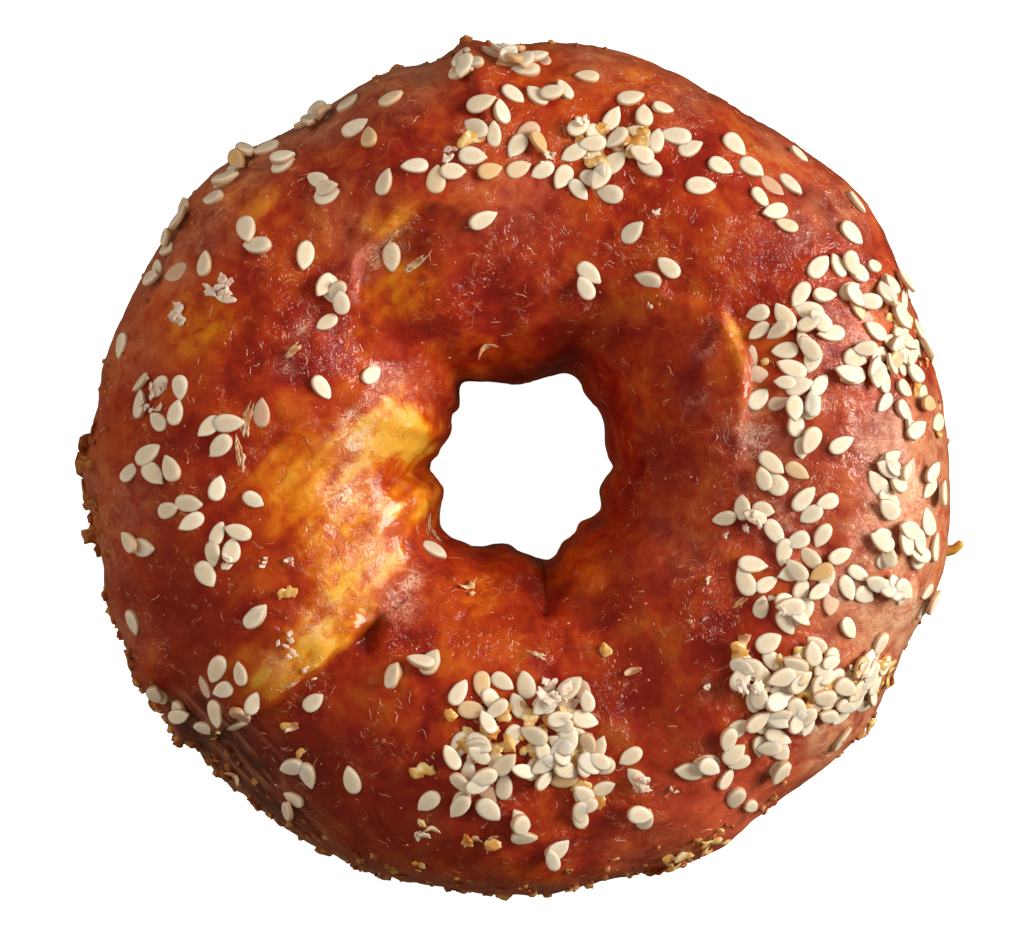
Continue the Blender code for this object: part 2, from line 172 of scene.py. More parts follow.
def skin_points(around, across):
    """Points of the skin. around is the plan angle in degrees, and across the angle round the dough's
    section in degrees: 0 outside, 90 at the crown, 180 in the hole, 270 underneath."""
    outer = OUTER_RADIUS + bumps(around, OUTLINE_BUMPS)
    hole = HOLE_RADIUS + bumps(around, HOLE_BUMPS)
    crown = CROWN_HEIGHT + bumps(around, CROWN_BUMPS)
    middle, half = (outer + hole) / 2.0, (outer - hole) / 2.0
    turn, section = np.radians(around), np.radians(across)
    c, s = np.cos(section), np.sin(section)
    fullness = np.where(s > 0.0, TOP_FULLNESS, BASE_FULLNESS)
    out = np.sign(c) * np.abs(c) ** fullness
    up = np.sign(s) * np.abs(s) ** fullness
    radius = middle + half * out
    height = WAIST_HEIGHT + np.where(s > 0.0, crown - WAIST_HEIGHT, WAIST_HEIGHT + BASE_SINK) * up
    x, y = radius * np.cos(turn) / MM, radius * np.sin(turn) / MM
    upper = np.clip(s * RELIEF_FADE + RELIEF_AT_WAIST, 0.0, 1.0)
    relief = (lap_relief(x, y) + spot_relief(x, y)) * upper
    for waves_round, waves_across, swell, phase in SWELLS:
        relief += swell * np.sin(waves_round * turn + waves_across * section + phase)
    radius = radius + relief * MM * c
    height = np.maximum(height + relief * MM * s, 0.0)
    return np.stack([radius * np.cos(turn), radius * np.sin(turn), height], axis=-1)


# Fine mesh of the skin: this many steps round the ring and round the section, closer on top.
AROUND_STEPS, ACROSS_STEPS, CLOSER_ON_TOP = 620, 160, 22.0

# Fine relief, in mm: (height, wrinkle width, wrinkle length, twist round the section, draw).
WRINKLES = ((0.16, 3.6, 11.0, 0.35, 1), (0.09, 2.0, 5.0, -0.2, 2), (0.06, 1.5, 3.0, 0.6, 3))
LUMPS = ((0.32, 5.0, 4), (0.15, 2.3, 5), (0.08, 1.2, 6))
# Puckers in the hole and crumb on the rim, in mm. Each sets in by the cosine of the section angle, towards
# the hole or away from it: (steepness, start).
PUCKER_HEIGHT, PUCKER_WIDTH, PUCKER_LOW = 0.26, 3.2, 4.0
PUCKER_ZONE = (1.6, 0.5)
RIM_ROUGHNESS, RIM_GRAIN, RIM_LOW, RIM_HIGH, RIM_FADE = 0.48, 1.4, 2.0, 17.0, 4.0
RIM_ZONE = (2.0, 0.8)
# The crumb's roughness all round, as a share, and what is added where the rim is torn: (angle in degrees,
# share, width in degrees).
RIM_EVENNESS = 0.45
RIM_TORN = ((230, 0.6, 50), (110, 0.4, 20))
# Mean radii of the ring and of its section, in mm: a wrinkle's length and width are measured on them.
MEAN_RADIUS, MEAN_SECTION = 30.0, 19.0
# The relief fades out below this height, so that the underside stays flat.
FLAT_BELOW = 2.0 * MM


def lump_relief(points):
    """Height of the skin's lumps and dimples, in mm."""
    return sum(height * noise_at(points / MM / size, draw) for height, size, draw in LUMPS)


def wrinkle_relief(points, around, across):
    """Height of the stretched wrinkles, the puckers in the hole and the crumb of the rim, in mm."""
    turn, section = np.radians(around), np.radians(across)
    total = np.zeros_like(around)
    for height, width, length, twist, draw in WRINKLES:
        swept = turn + twist * section
        place = [MEAN_RADIUS / length * np.cos(swept), MEAN_RADIUS / length * np.sin(swept)]
        place.append(MEAN_SECTION / width * section)
        total += height * noise_at(np.stack(place, axis=-1), draw)
    steepness, start = PUCKER_ZONE
    in_hole = np.clip(-np.cos(section) * steepness - start, 0.0, 1.0)
    in_hole = in_hole * (points[..., 2] > PUCKER_LOW * MM)
    reach = HOLE_RADIUS / MM / PUCKER_WIDTH
    place = np.stack([reach * np.cos(turn), reach * np.sin(turn), section], axis=-1)
    total += PUCKER_HEIGHT * in_hole * noise_at(place, draw=7)
    steepness, start = RIM_ZONE
    on_rim = np.clip(np.cos(section) * steepness - start, 0.0, 1.0)
    z = points[..., 2] / MM
    on_rim = on_rim * (z > RIM_LOW) * np.clip((RIM_HIGH - z) / RIM_FADE, 0.0, 1.0)
    rough = RIM_ROUGHNESS * (RIM_EVENNESS + bumps(around, RIM_TORN) / MM)
    total += rough * on_rim * noise_at(points / MM / RIM_GRAIN, draw=8)
    return total


def skin_grid():
    """(points, plan angles, section angles, lump heights in mm) of the fine skin, as grids of steps round
    the ring by steps across it."""
    share = np.arange(ACROSS_STEPS) / ACROSS_STEPS
    across = -90.0 + 360.0 * share + CLOSER_ON_TOP * np.sin(math.tau * share)
    around = np.arange(AROUND_STEPS) * 360.0 / AROUND_STEPS
    around, across = np.meshgrid(around, across, indexing="ij")
    points = skin_points(around, across)
    round_ring = np.roll(points, -1, axis=0) - np.roll(points, 1, axis=0)
    over_ring = np.roll(points, -1, axis=1) - np.roll(points, 1, axis=1)
    normal = np.cross(round_ring, over_ring)
    normal /= np.maximum(np.linalg.norm(normal, axis=-1, keepdims=True), 1e-12)
    lumps = lump_relief(points)
    relief = lumps + wrinkle_relief(points, around, across)
    relief = relief * np.clip(points[..., 2] / FLAT_BELOW, 0.0, 1.0)
    points = points + normal * (relief * MM)[..., None]
    points[..., 2] = np.maximum(points[..., 2], 0.0)
    return points, around, across, lumps


def grid_faces(rows, columns):
    """Quads of a grid that closes on itself both ways."""
    i, j = np.meshgrid(np.arange(rows), np.arange(columns), indexing="ij")
    a, b = i * columns + j, (i + 1) % rows * columns + j
    c, d = (i + 1) % rows * columns + (j + 1) % columns, i * columns + (j + 1) % columns
    return np.stack([a, b, c, d], axis=-1).reshape(-1, 4)


def mesh_piece(name, points, faces, material):
    """A smooth object of these points and faces, with one material."""
    mesh = bpy.data.meshes.new(name)
    mesh.from_pydata(np.asarray(points).reshape(-1, 3).tolist(), [], [tuple(face) for face in faces])
    mesh.materials.append(material)
    mesh.shade_smooth()
    piece = bpy.data.objects.new(name, mesh)
    bpy.context.scene.collection.objects.link(piece)
    return piece


def point_values(piece, name, values):
    """A number for each point of the piece's mesh, which its material reads by this name."""
    layer = piece.data.attributes.new(name, "FLOAT", "POINT")
    layer.data.foreach_set("value", np.asarray(values, dtype=np.float32).ravel())


def linear(code):
    """Linear colour of an sRGB hex value."""
    channels = [int(code[i:i + 2], 16) / 255.0 for i in (1, 3, 5)]
    return [c / 12.92 if c <= 0.04045 else ((c + 0.055) / 1.055) ** 2.4 for c in channels] + [1.0]


def set_inputs(tree, node, inputs):
    """Gives each named or numbered input of the node a value, a hex colour or a link."""
    for key, value in inputs.items():
        if isinstance(value, bpy.types.NodeSocket):
            tree.links.new(value, node.inputs[key])
        else:
            node.inputs[key].default_value = linear(value) if isinstance(value, str) else value


def add_node(tree, kind, inputs, output=0, stops=(), **settings):
    """An output of a new node with these inputs and settings. A ramp also gets stops, as (position, hex
    colour)."""
    node = tree.nodes.new("ShaderNode" + kind)
    for name, value in settings.items():
        setattr(node, name, value)
    set_inputs(tree, node, inputs)
    if stops:
        ramp = node.color_ramp.elements
        ramp[0].position, ramp[1].position = stops[0][0], stops[-1][0]
        ramp[0].color, ramp[1].color = linear(stops[0][1]), linear(stops[-1][1])
        for position, code in stops[1:-1]:
            ramp.new(position).color = linear(code)
    return node.outputs[output]


def new_material(name):
    """(material, its node tree, its shader)."""
    material = bpy.data.materials.new(name)
    material.use_nodes = True
    return material, material.node_tree, material.node_tree.nodes["Principled BSDF"]


# Where the crust is tinted, in mm in plan: (x, y, radius, share). Thin glaze over pale dough is amber.
# Maroon is thick or scorched glaze, and also painted shade on slopes, rims and a recess that turn from
# the lamp. Rosy is dry glaze's milky tone, painted as a sheen where the light grazes and as painted
# light on rims in shade. Blush is red skin low on the rim, painted bright there as painted light.
TINTS = {
    "amber": (
        (-19.5, 0.5, 3.8, 0.8), (-25, -1.5, 4.5, 0.45), (-22, 5, 4, 0.3), (-14.8, 5.2, 2.9, 2.2),
        (-12.3, 3.2, 2.6, 1.3), (-11.3, -4.2, 2.8, 1), (-15.5, -4.6, 2.4, 1.1), (-15.5, 3, 4, 0.3),
        (-15.3, -11, 2.8, 0.9), (-19.5, -15, 3, 1.2), (-24.5, -20, 3, 1.2), (-29.5, -25, 4, 0.7),
        (-20.7, -8.5, 4.5, 0.8), (-27, -4, 6, 0.5), (-12.7, 21.9, 3.6, 0.8), (-17, 19.5, 2.6, 0.5),
        (-15.8, 28.3, 2.6, 0.9), (-32, 31.3, 4.5, 0.6), (-38, 17, 5.5, 0.6), (-34.4, -25.4, 5, 0.45),
        (2.6, 44, 8, 0.3), (14.6, 45, 6, 0.3), (-4.5, -15.9, 6, 0.35), (8.6, -12.5, 5, 0.3),
        (25.9, 15, 2.2, 0.5), (36, 8, 5, 0.2), (-46, 3, 5, 0.25),
    ),
    # Thick glaze, and painted shade: darker where slopes, rim and a recess turn from the lamp.
    "maroon_and_painted_shade": (
        (5, 13, 4, 0.7), (15.8, 4.4, 7, 0.4), (20.5, 10.4, 5, 0.15), (14.6, -3, 6, 0.5),
        (2.8, -14.5, 2.6, 0.9), (-21.3, -37, 9, 0.8), (-10.5, -43.4, 8, 0.6), (-26, -35, 5, 0.6),
        (-17.4, -19.6, 1.5, 0.7), (14.6, -26.6, 8, 0.6), (21.7, -20.7, 7, 0.5), (5, 26, 6, 0.35),
        (8.6, 16.4, 5, 0.5), (-10.5, 27.1, 3.5, 0.5), (-14.5, 25.2, 2.5, 0.6), (-33.2, -36.2, 4, 0.7),
        (-40, -14, 7, 0.8), (-37, -24, 6, 0.6), (-43, 0, 7, 0.5), (-28, -30, 6, 0.4), (20, -34, 7, 0.4),
        (31, 12, 9, 0.2), (24, 26, 9, 0.2),
    ),
    # Painted sheen and light: a milky pink where the lamp grazes the slopes, and on rims in shade.
    "rosy_painted_sheen": (
        (47.5, -1.6, 7, 1), (43, -17, 8, 1.1), (49, 6, 4.5, 0.8), (49, -9, 5, 0.8), (44.5, 19.5, 4, 0.5),
        (39, 30, 4, 0.4), (31, 38.5, 4, 0.4), (20, 45, 4, 0.4), (-48, -4, 6, 0.5), (-38, 28.3, 5, 0.35),
        (19.4, -9.9, 5, 0.2), (-20, 29.5, 5, 0.3), (-2, 33, 7, 0.25), (31.3, -0.4, 8, 0.3),
        (-46, 14, 5, 0.3), (37, -34, 6, 0.5), (34, 31, 5, 0.2), (40.5, -27, 5, 0.8), (28, -41, 5, 0.5),
        (36.5, -33.5, 4, 0.9), (-24, 42.5, 4, 1.1), (-30, 39.5, 3.5, 0.6), (-34.5, 35, 4, 0.8),
        (-42, 24, 4, 0.5), (17, -47, 5, 0.3), (-12, 48, 4, 0.8), (-17.5, 46.5, 4, 0.8), (9.8, 49, 4, 0.5),
        (46.5, -20.5, 4, 0.6), (-49, -11, 3, 0.4), (-46.5, -20.5, 3.5, 0.5), (-39, -33, 3, 0.8),
        (-36.5, -36, 3, 0.8), (-33.5, -38.5, 3, 0.8), (-30, -41.5, 3, 0.6),
    ),
    # Painted light: a bright red that lifts the lower rim where it turns from the lamp.
    "blush_painted_light": (
        (19, -44, 5, 0.7), (26, -41.5, 5, 0.9), (12, -47.5, 4, 0.5), (32, -36.5, 5, 0.6),
        (22, -36, 6, 0.3), (14, -38, 5, 0.2),
    ),
    # Skin that has come off the dough in a finely crumpled film, painted milky white as a highlight where
    # the lamp's reflection falls.
    "film_painted_highlight": (
        (-18.9, 6.3, 1, 1.6), (-15.6, 7.8, 1.7, 0.7), (-19.2, 2.4, 2.3, 1.6), (-20.4, -2.6, 2.1, 1.2),
        (-16.9, -9.8, 1.6, 1.1), (-13.2, -13.2, 2.2, 0.6), (-14.6, -15.9, 1.9, 0.9),
        (-17.2, -12.6, 1.2, 0.5), (-17.2, 24.3, 1.5, 0.9), (-24.5, -19, 1.6, 0.5), (-28, -22.5, 1.5, 0.4),
        (-22, -16.5, 1.2, 0.4), (-13.5, 26.3, 1.2, 0.8), (-14.5, 9.8, 1.4, 0.6), (-25.5, 15.5, 1.2, 0.7),
        (-27.5, 12, 1.2, 0.5), (22.3, 14.6, 1.6, 0.25), (20.5, 8, 1.2, 0.3), (28, 4.2, 2.4, 0.7),
        (34.5, 9.5, 2.6, 0.35), (37.8, 16, 2.6, 0.4), (42.5, 4, 3, 0.45), (42.5, -8, 3, 0.6),
        (46.5, -3, 3, 0.6), (38.5, -13.5, 2.6, 0.5), (46, -17, 3, 0.6), (31, -6.5, 2.4, 0.3),
    ),
    # Skin that shrank off the rim in wrinkles that run along it, coloured dull purplish and dark as painted
    # shade where the rim turns from the lamp.
    "shrunk_and_painted_shade": (
        (-40.5, -28.5, 2.6, 0.6), (-38, -31, 3.8, 1.2), (-35, -34.5, 4.2, 1.3), (-31.5, -38, 3.8, 1.3),
        (-28, -42, 3.2, 1), (-23.5, -45, 2.8, 0.8), (-18, -47.5, 2.4, 0.6), (-49.5, -14, 2, 0.5),
    ),
}
# The shrunk wrinkles' direction in plan, in degrees, and their length and width, in mm.
WRINKLE_WAY, WRINKLE_LENGTH, WRINKLE_WIDTH = -47.0, 7.0, 0.9
# What makes a tint's edge ragged: (how far it moves, the size of its bays, both in mm, draw).
EDGE_WARP = ((1.5, 4.5, 21), (0.5, 1.4, 23))
# The dough was drawn out along this direction in plan, in degrees: streaks this long and wide, in mm.
DRAWN_WAY, STREAK_LENGTH, STREAK_WIDTH, STREAK_STRENGTH = 48.0, 7.0, 1.3, 0.9
# Thin dough is amber along a lap's lip, and sharply ends there: (lap, from, to: shares of its way, width
# in mm, share).
LIP_AMBER = ((0, 0.52, 0.98, 3.6, 0.72), (1, 0.45, 0.9, 2.2, 0.5), (2, 0.2, 1.0, 1.5, 0.7))
# How soft its edge and ends are, how far it wanders and over what length, in mm, and how it falls off.
LIP_SOFTNESS, LIP_END_SOFTNESS, LIP_WANDER, LIP_WANDER_SIZE, LIP_FALL = 0.25, 0.04, 0.5, 2.0, 1.5
# Below this height the skin turns to the pale, unglazed crust of the underside.
UNDERSIDE_HEIGHT = 3.0 * MM


def ragged_plan(points):
    """(x, y) of the points in plan, in mm, moved about so that spots at them have ragged edges."""
    x, y = points[..., 0] / MM, points[..., 1] / MM
    for reach, size, draw in EDGE_WARP:
        x = x + reach * noise_at(points / MM / size, draw)
        y = y + reach * noise_at(points / MM / size, draw + 1)
    return x, y


def streaks(points):
    """Streaks of thicker and thinner glaze along the way the dough was drawn, from about -1 to 1."""
    c, s = math.cos(math.radians(DRAWN_WAY)), math.sin(math.radians(DRAWN_WAY))
    x, y, z = (points[..., axis] / MM for axis in range(3))
    along, aside = (x * c + y * s) / STREAK_LENGTH, (y * c - x * s) / STREAK_WIDTH
    return noise_at(np.stack([along, aside, z / STREAK_LENGTH], axis=-1), draw=33)


def lip_shares(points):
    """How strongly each point is amber because it lies on the lip of a lap, from 0 to about 1."""
    x, y = points[..., 0] / MM, points[..., 1] / MM
    total = np.zeros_like(x)
    for lap, low, high, width, share in LIP_AMBER:
        start, end, bow = LAPS[lap][:3]
        along, left = line_offsets(x, y, start, end, bow)
        within = 1.0 / (1.0 + np.exp(-(along - low) / LIP_END_SOFTNESS))
        within = within / (1.0 + np.exp((along - high) / LIP_END_SOFTNESS))
        left = left + LIP_WANDER * noise_at(points / MM / LIP_WANDER_SIZE, draw=29)
        over = 0.5 + 0.5 * np.tanh(left / LIP_SOFTNESS)
        total += share * within * over * np.exp(-np.abs(left / width) ** LIP_FALL)
    return total


def glazed_crust():
    """Baked wheat crust under brushed syrup: a mottled red-brown skin that lets light in for a
    millimetre, under a clear hard glaze whose fine crumples break the light into a net of glints."""
    material, tree, shader = new_material("syrup_glazed_crust")
    place = add_node(tree, "TexCoord", {}, "Object")
    lump, amber, rosy_painted_sheen, blush_painted_light, maroon_and_painted_shade, film_painted_highlight, shrunk_and_painted_shade, under = (
        add_node(tree, "Attribute", {}, "Fac", attribute_name=name)
        for name in ("lump", "amber", "rosy_painted_sheen", "blush_painted_light", "maroon_and_painted_shade", "film_painted_highlight", "shrunk_and_painted_shade", "under")
    )
    # Clouds: (size in mm, detail, roughness, distortion).
    mottle, blotch, patches, fold_cloud, glint_cloud, crinkle_cloud = (
        add_node(tree, "TexNoise", {
            "Vector": place, "Scale": 1.0 / (size * MM), "Detail": detail, "Roughness": roughness,
            "Distortion": distortion,
        })
        for size, detail, roughness, distortion in (
            (8.0, 3.0, 0.6, 0.8), (2.4, 3.0, 0.6, 0.5), (6.0, 2.0, 0.5, 0.5),
            (1.1, 2.5, 0.62, 0.9), (2.4, 2.0, 0.5, 1.4), (1.1, 2.0, 0.5, 2.2),
        )
    )
    # Patterns that are 0 along winding lines, where a cloud has its middle value, and rise away from them.
    folds, glints, crinkles = (
        add_node(tree, "Math", {
            0: add_node(tree, "Math", {0: cloud, 1: middle}, operation="SUBTRACT"),
        }, operation="ABSOLUTE")
        for cloud, middle in ((fold_cloud, 0.5), (glint_cloud, 0.47), (crinkle_cloud, 0.5))
    )
    # The shrunk skin's wrinkles, drawn out along the rim.
    laid = add_node(tree, "Mapping", {
        "Vector": place, "Rotation": (0.0, 0.0, math.radians(WRINKLE_WAY)),
        "Scale": (WRINKLE_LENGTH * MM, WRINKLE_WIDTH * MM, WRINKLE_LENGTH * MM),
    }, vector_type="TEXTURE")
    wrinkle = add_node(tree, "TexNoise", {"Vector": laid, "Scale": 1.0, "Detail": 2.0, "Distortion": 0.6})
    # Where these lie, as (pattern, from, to, least share, greatest share): patches of crumpled glaze, the
    # painted shade in its folds, its painted glints and the gaps in them, the painted highlight's crinkles
    # and their ragged breaks.
    crumpled, fold_shade, glint, broken, raised, ragged = (
        add_node(tree, "MapRange", {
            "Value": pattern, "From Min": low, "From Max": high, "To Min": least, "To Max": most,
        })
        for pattern, low, high, least, most in (
            (patches, 0.44, 0.6, 0.08, 1.0), (folds, 0.035, 0.0, 0.0, 0.4),
            (glints, 0.022, 0.006, 0.0, 1.0), (blotch, 0.5, 0.6, 0.0, 0.6),
            (crinkles, 0.03, 0.075, 0.0, 1.0), (blotch, 0.42, 0.56, 0.2, 0.9),
        )
    )
    fold_shade, painted_highlight, glint = (
        add_node(tree, "Math", {0: share, 1: other}, operation="MULTIPLY")
        for share, other in ((fold_shade, crumpled), (raised, ragged), (glint, broken))
    )
    glint = add_node(tree, "Math", {0: glint, 1: crumpled}, operation="MULTIPLY")
    painted_highlight, shrunk_and_painted_shade, crinkled = (
        add_node(tree, "Math", {0: share, 1: strength}, operation="MULTIPLY", use_clamp=True)
        for share, strength in ((painted_highlight, film_painted_highlight), (shrunk_and_painted_shade, 0.9), (film_painted_highlight, 2.0))
    )
    # The glaze: darker red in the hollows of the lumps and more orange on their tops, mottled.
    both = add_node(tree, "Mix", {0: 0.4, 2: mottle, 3: blotch}, data_type="FLOAT")
    tone = add_node(tree, "Math", {0: lump, 1: 0.3, 2: both}, operation="MULTIPLY_ADD")
    colour = add_node(tree, "ValToRGB", {"Fac": tone}, stops=(
        (0.33, "#82160E"), (0.44, "#9C2412"), (0.54, "#B63C14"), (0.70, "#CE681C"),
    ))
    # The tints, ragged by the blotches: (share, raggedness, strength, colour). Amber turns from orange to
    # honey with its share. Maroon is in part painted shade, rosy is painted sheen and light, and blush
    # is painted light.
    for share, raggedness, strength, tint in (
        (amber, 1.3, 4.0, None), (rosy_painted_sheen, 2.0, 1.0, "#D8A27C"), (blush_painted_light, 1.0, 1.0, "#E8684A"),
        (maroon_and_painted_shade, 0.7, 1.3, "#64120B"),
    ):
        uneven = add_node(tree, "Math", {
            0: blotch, 1: raggedness, 2: 0.5 - raggedness * 0.5,
        }, operation="MULTIPLY_ADD")
        share = add_node(tree, "Math", {0: share, 1: uneven}, operation="MULTIPLY")
        if tint is None:
            tint = add_node(tree, "ValToRGB", {"Fac": share}, stops=(
                (0.0, "#AA380B"), (0.2, "#C4500B"), (0.45, "#E08416"), (0.75, "#F4B83E"),
            ))
        share = add_node(tree, "Math", {0: share, 1: strength}, operation="MULTIPLY", use_clamp=True)
        colour = add_node(tree, "Mix", {"Factor": share, 6: colour, 7: tint}, 2, data_type="RGBA")
    # Over them the shrunk skin's painted shade, the bare underside, painted shade in the folds, the film's
    # painted highlight and the painted glints.
    # Painted shade: dark and dull purplish stripes along the shrunk wrinkles.
    wrinkle_shade = add_node(tree, "ValToRGB", {"Fac": wrinkle}, stops=(
        (0.38, "#481A15"), (0.52, "#6C3226"), (0.66, "#9C6854"),
    ))
    for share, layer in (
        (shrunk_and_painted_shade, wrinkle_shade), (under, "#9A5A2C"), (fold_shade, "#5E0C05"), (painted_highlight, "#F8DFC8"), (glint, "#E8A98A"),
    ):
        colour = add_node(tree, "Mix", {"Factor": share, 6: colour, 7: layer}, 2, data_type="RGBA")
    # The relief of the skin, and of the glaze over it, which is crumpled deeper.
    waves = add_node(tree, "Bump", {"Strength": 0.5, "Distance": 0.35 * MM, "Height": blotch})
    waves = add_node(tree, "Bump", {
        "Strength": shrunk_and_painted_shade, "Distance": 0.9 * MM, "Height": wrinkle, "Normal": waves,
    })
    glaze = waves
    for strength, depth, height in ((crumpled, 0.9 * MM, folds), (crinkled, 0.7 * MM, crinkles)):
        glaze = add_node(tree, "Bump", {
            "Strength": strength, "Distance": depth, "Height": height, "Normal": glaze,
        })
    skin = add_node(tree, "Bump", {
        "Strength": 0.5, "Distance": 0.18 * MM, "Height": folds, "Normal": waves,
    })
    set_inputs(tree, shader, {
        "Base Color": colour, "Roughness": 0.5, "Normal": skin, "IOR": 1.45, "Specular IOR Level": 0.12,
        "Subsurface Weight": 0.25, "Subsurface Radius": (1.0, 0.35, 0.12), "Subsurface Scale": 1.2 * MM,
        "Coat Weight": 0.8, "Coat Roughness": 0.04, "Coat IOR": 1.5, "Coat Normal": glaze,
    })
    return material


points, around, across, lumps = skin_grid()
crust = mesh_piece("crust", points, grid_faces(AROUND_STEPS, ACROSS_STEPS), glazed_crust())
ragged_x, ragged_y = ragged_plan(points)
tints = {name: spot_sum(ragged_x, ragged_y, rows) for name, rows in TINTS.items()}
tints["amber"] = tints["amber"] * (1.0 + STREAK_STRENGTH * streaks(points)) + lip_shares(points)
for name, shares in tints.items():
    point_values(crust, name, shares)
point_values(crust, "lump", lumps)
point_values(crust, "under", np.clip(1.0 - points[..., 2] / UNDERSIDE_HEIGHT, 0.0, 1.0))
crust_tree = BVHTree.FromObject(crust, bpy.context.evaluated_depsgraph_get())
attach(crust, "root")
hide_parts("bagel")

# --- The sesame seeds -------------------------------------------------------------------------------
# Hulled white sesame, strewn on the wet glaze before baking and stuck in it, single and in heaps. The
# seeds are flat drops of about 3.3 mm, each a little different. Most are ivory, some toasted, some sunk
# in the glaze. All of them are one joined mesh.

# Seeds that lie alone: (angle in degrees, radius in mm, the way the tip points in plan in degrees).
LONE_SEEDS = (
    (80, 47.2, 175), (115, 47.3, 60), (109, 45.6, 20), (115, 36.7, 60), (109, 37.1, 180), (147, 43.9, 80),
    (121, 28.8, 280), (143, 28.2, 205), (163, 49.5, 265), (158, 24.9, 310), (148, 20.3, 15),
    (168, 30.8, 90), (176, 35.1, 240), (184, 35.5, 65), (187, 31.4, 320), (199, 38.8, 305),
    (202, 48.7, 270), (229, 36.8, 30), (242, 41.6, 100), (225, 14.8, 290), (255, 40.3, 215),
    (280, 42, 100), (83, 45.2, 115), (73, 46, 15), (68, 46, 350), (56, 45.8, 310), (56, 42.7, 335),
    (52, 44.7, 315), (57, 39.5, 0), (48, 42.6, 305), (48, 49.7, 330), (46, 46.2, 300), (42, 42.5, 160),
    (38, 50.4, 290), (35, 47.8, 320), (64, 30.8, 40), (98, 29.5, 20), (4, 38.1, 25), (320, 50.5, 70),
    (334, 43.1, 300), (325, 35.9, 30),
)

# Where the rest lie: (angle in degrees, radius, half length round the ring, half width across it, how
# many), the lengths in mm in plan.
SEED_PATCHES = (
    (97, 48.2, 2.5, 1.5, 5), (90, 48.4, 3.6, 1.6, 11), (88, 44.2, 2.5, 1.2, 3), (115, 43.1, 1, 1.2, 2),
    (132, 47.8, 3.2, 1.1, 5), (128, 45.1, 1.2, 1, 2), (124, 39.9, 1.2, 2.8, 3), (143, 49.5, 1.2, 0.8, 2),
    (147, 48, 1.6, 0.8, 2), (140, 42.1, 1, 1.9, 2), (137, 31, 1.9, 1.4, 2), (167, 43.7, 1.2, 4.4, 3),
    (171, 40.1, 2.2, 6.5, 5), (179, 43.5, 2.3, 3.7, 4), (188, 40.2, 2, 1.8, 3), (194, 35.9, 2.1, 2.3, 4),
    (192, 45.4, 1.4, 0.8, 2), (211, 35.2, 1.3, 0.8, 2), (215, 42, 1.8, 3, 4), (214, 49, 2.8, 1.2, 4),
    (221, 44.6, 2.2, 3.8, 5), (238, 29, 1, 1.4, 2), (246, 25.5, 1.8, 0.6, 2), (234, 44.1, 1.4, 0.6, 2),
    (236, 48, 0.8, 1.3, 2), (260, 27, 2.4, 2.8, 4), (275, 28.2, 5.8, 1.2, 6), (276, 31, 4.8, 2.2, 7),
    (262, 33.2, 3.6, 1.5, 5), (277, 35.1, 3, 2.5, 8), (264, 37.9, 4.2, 2.6, 8), (285, 35.5, 1.6, 1.4, 4),
    (291, 37.8, 0.8, 1.9, 2), (283, 40.1, 2.2, 1.2, 3), (289, 44.2, 0.8, 1.4, 2),
    (271, 41.9, 0.9, 2.6, 3), (276, 45.5, 1.4, 0.6, 2), (312, 41.6, 1.7, 2.4, 3),
    (306, 42.9, 2.9, 3.1, 5), (312, 47.4, 1.2, 1, 2), (304, 48.1, 1.2, 1.3, 2), (301, 41, 1.6, 2, 2),
    (320, 37.1, 1.9, 2.8, 4), (327, 41.2, 2.2, 2.8, 5), (322, 43.1, 5.2, 3.1, 10), (331, 48.9, 2.5, 1, 3),
    (325, 48.5, 2.6, 1.9, 5), (318, 45, 1.2, 1.6, 3), (31, 41.5, 3.4, 5.7, 7), (24, 37.5, 2.8, 2.8, 6),
    (20, 31.8, 3.5, 3.2, 6), (17, 40.8, 1.4, 1.8, 3), (26, 48.5, 3, 2, 7), (18, 48.2, 3.6, 2.4, 11),
    (11, 46.7, 2.6, 3.7, 7), (6, 48.3, 0.9, 2.2, 3), (7, 33.3, 2.4, 1.8, 3), (1, 43.9, 0.8, 1.6, 2),
    (0, 31.5, 0.8, 2.8, 2), (351, 28.4, 1.6, 2.2, 3), (353, 34.9, 2.2, 1.9, 3), (354, 43.3, 1.4, 0.7, 2),
    (340, 31.4, 3.2, 3.2, 5), (333, 34.9, 2.7, 3, 6), (341, 40.7, 3.4, 2.8, 6), (350, 48, 2.4, 2.2, 6),
    (342, 47.2, 1.4, 0.7, 2), (342, 50.3, 2.6, 0.6, 3), (93, 39, 4.6, 4.7, 10), (77, 38.3, 4, 5.3, 10),
    (69, 41, 2.5, 4, 5), (63, 43.4, 1.2, 1.2, 2), (54, 28.1, 1, 1.8, 2), (69, 24.2, 0.8, 1.6, 2),
    (104, 35.5, 1.6, 1.2, 2), (119, 47.8, 3.2, 1.2, 7), (136, 47.4, 2.6, 1.2, 2), (134, 35, 1.4, 1, 1),
    (150, 47.5, 3, 1.5, 3), (137, 29.5, 1.6, 1, 2), (16, 34.5, 3, 2.4, 7), (0, 30, 2, 1.6, 2),
    (1, 44.8, 1.8, 1.6, 2), (357, 48.2, 2, 1.4, 3), (350, 44.2, 2.6, 1.8, 4), (344, 44.5, 3, 1.5, 5),
    (345, 35, 3, 2, 3), (345, 24.8, 1.2, 0.8, 1), (75, 34.5, 2.4, 1.6, 3), (332, 48, 2.4, 1.2, 4),
    (331, 30, 2.2, 1.4, 1), (318, 35.5, 2, 1.2, 2), (30, 34.5, 2.6, 2.2, 3), (28, 45, 3, 2.4, 5),
    (14, 44.5, 2.6, 1.6, 3), (88, 35.5, 2, 1, 1), (270, 25.6, 2.6, 0.8, 2), (358, 44, 2.4, 1.8, 3),
    (316, 41.5, 3, 3, 4), (314, 44.5, 2.4, 1.4, 3), (46, 44, 2, 1.6, 2),
)
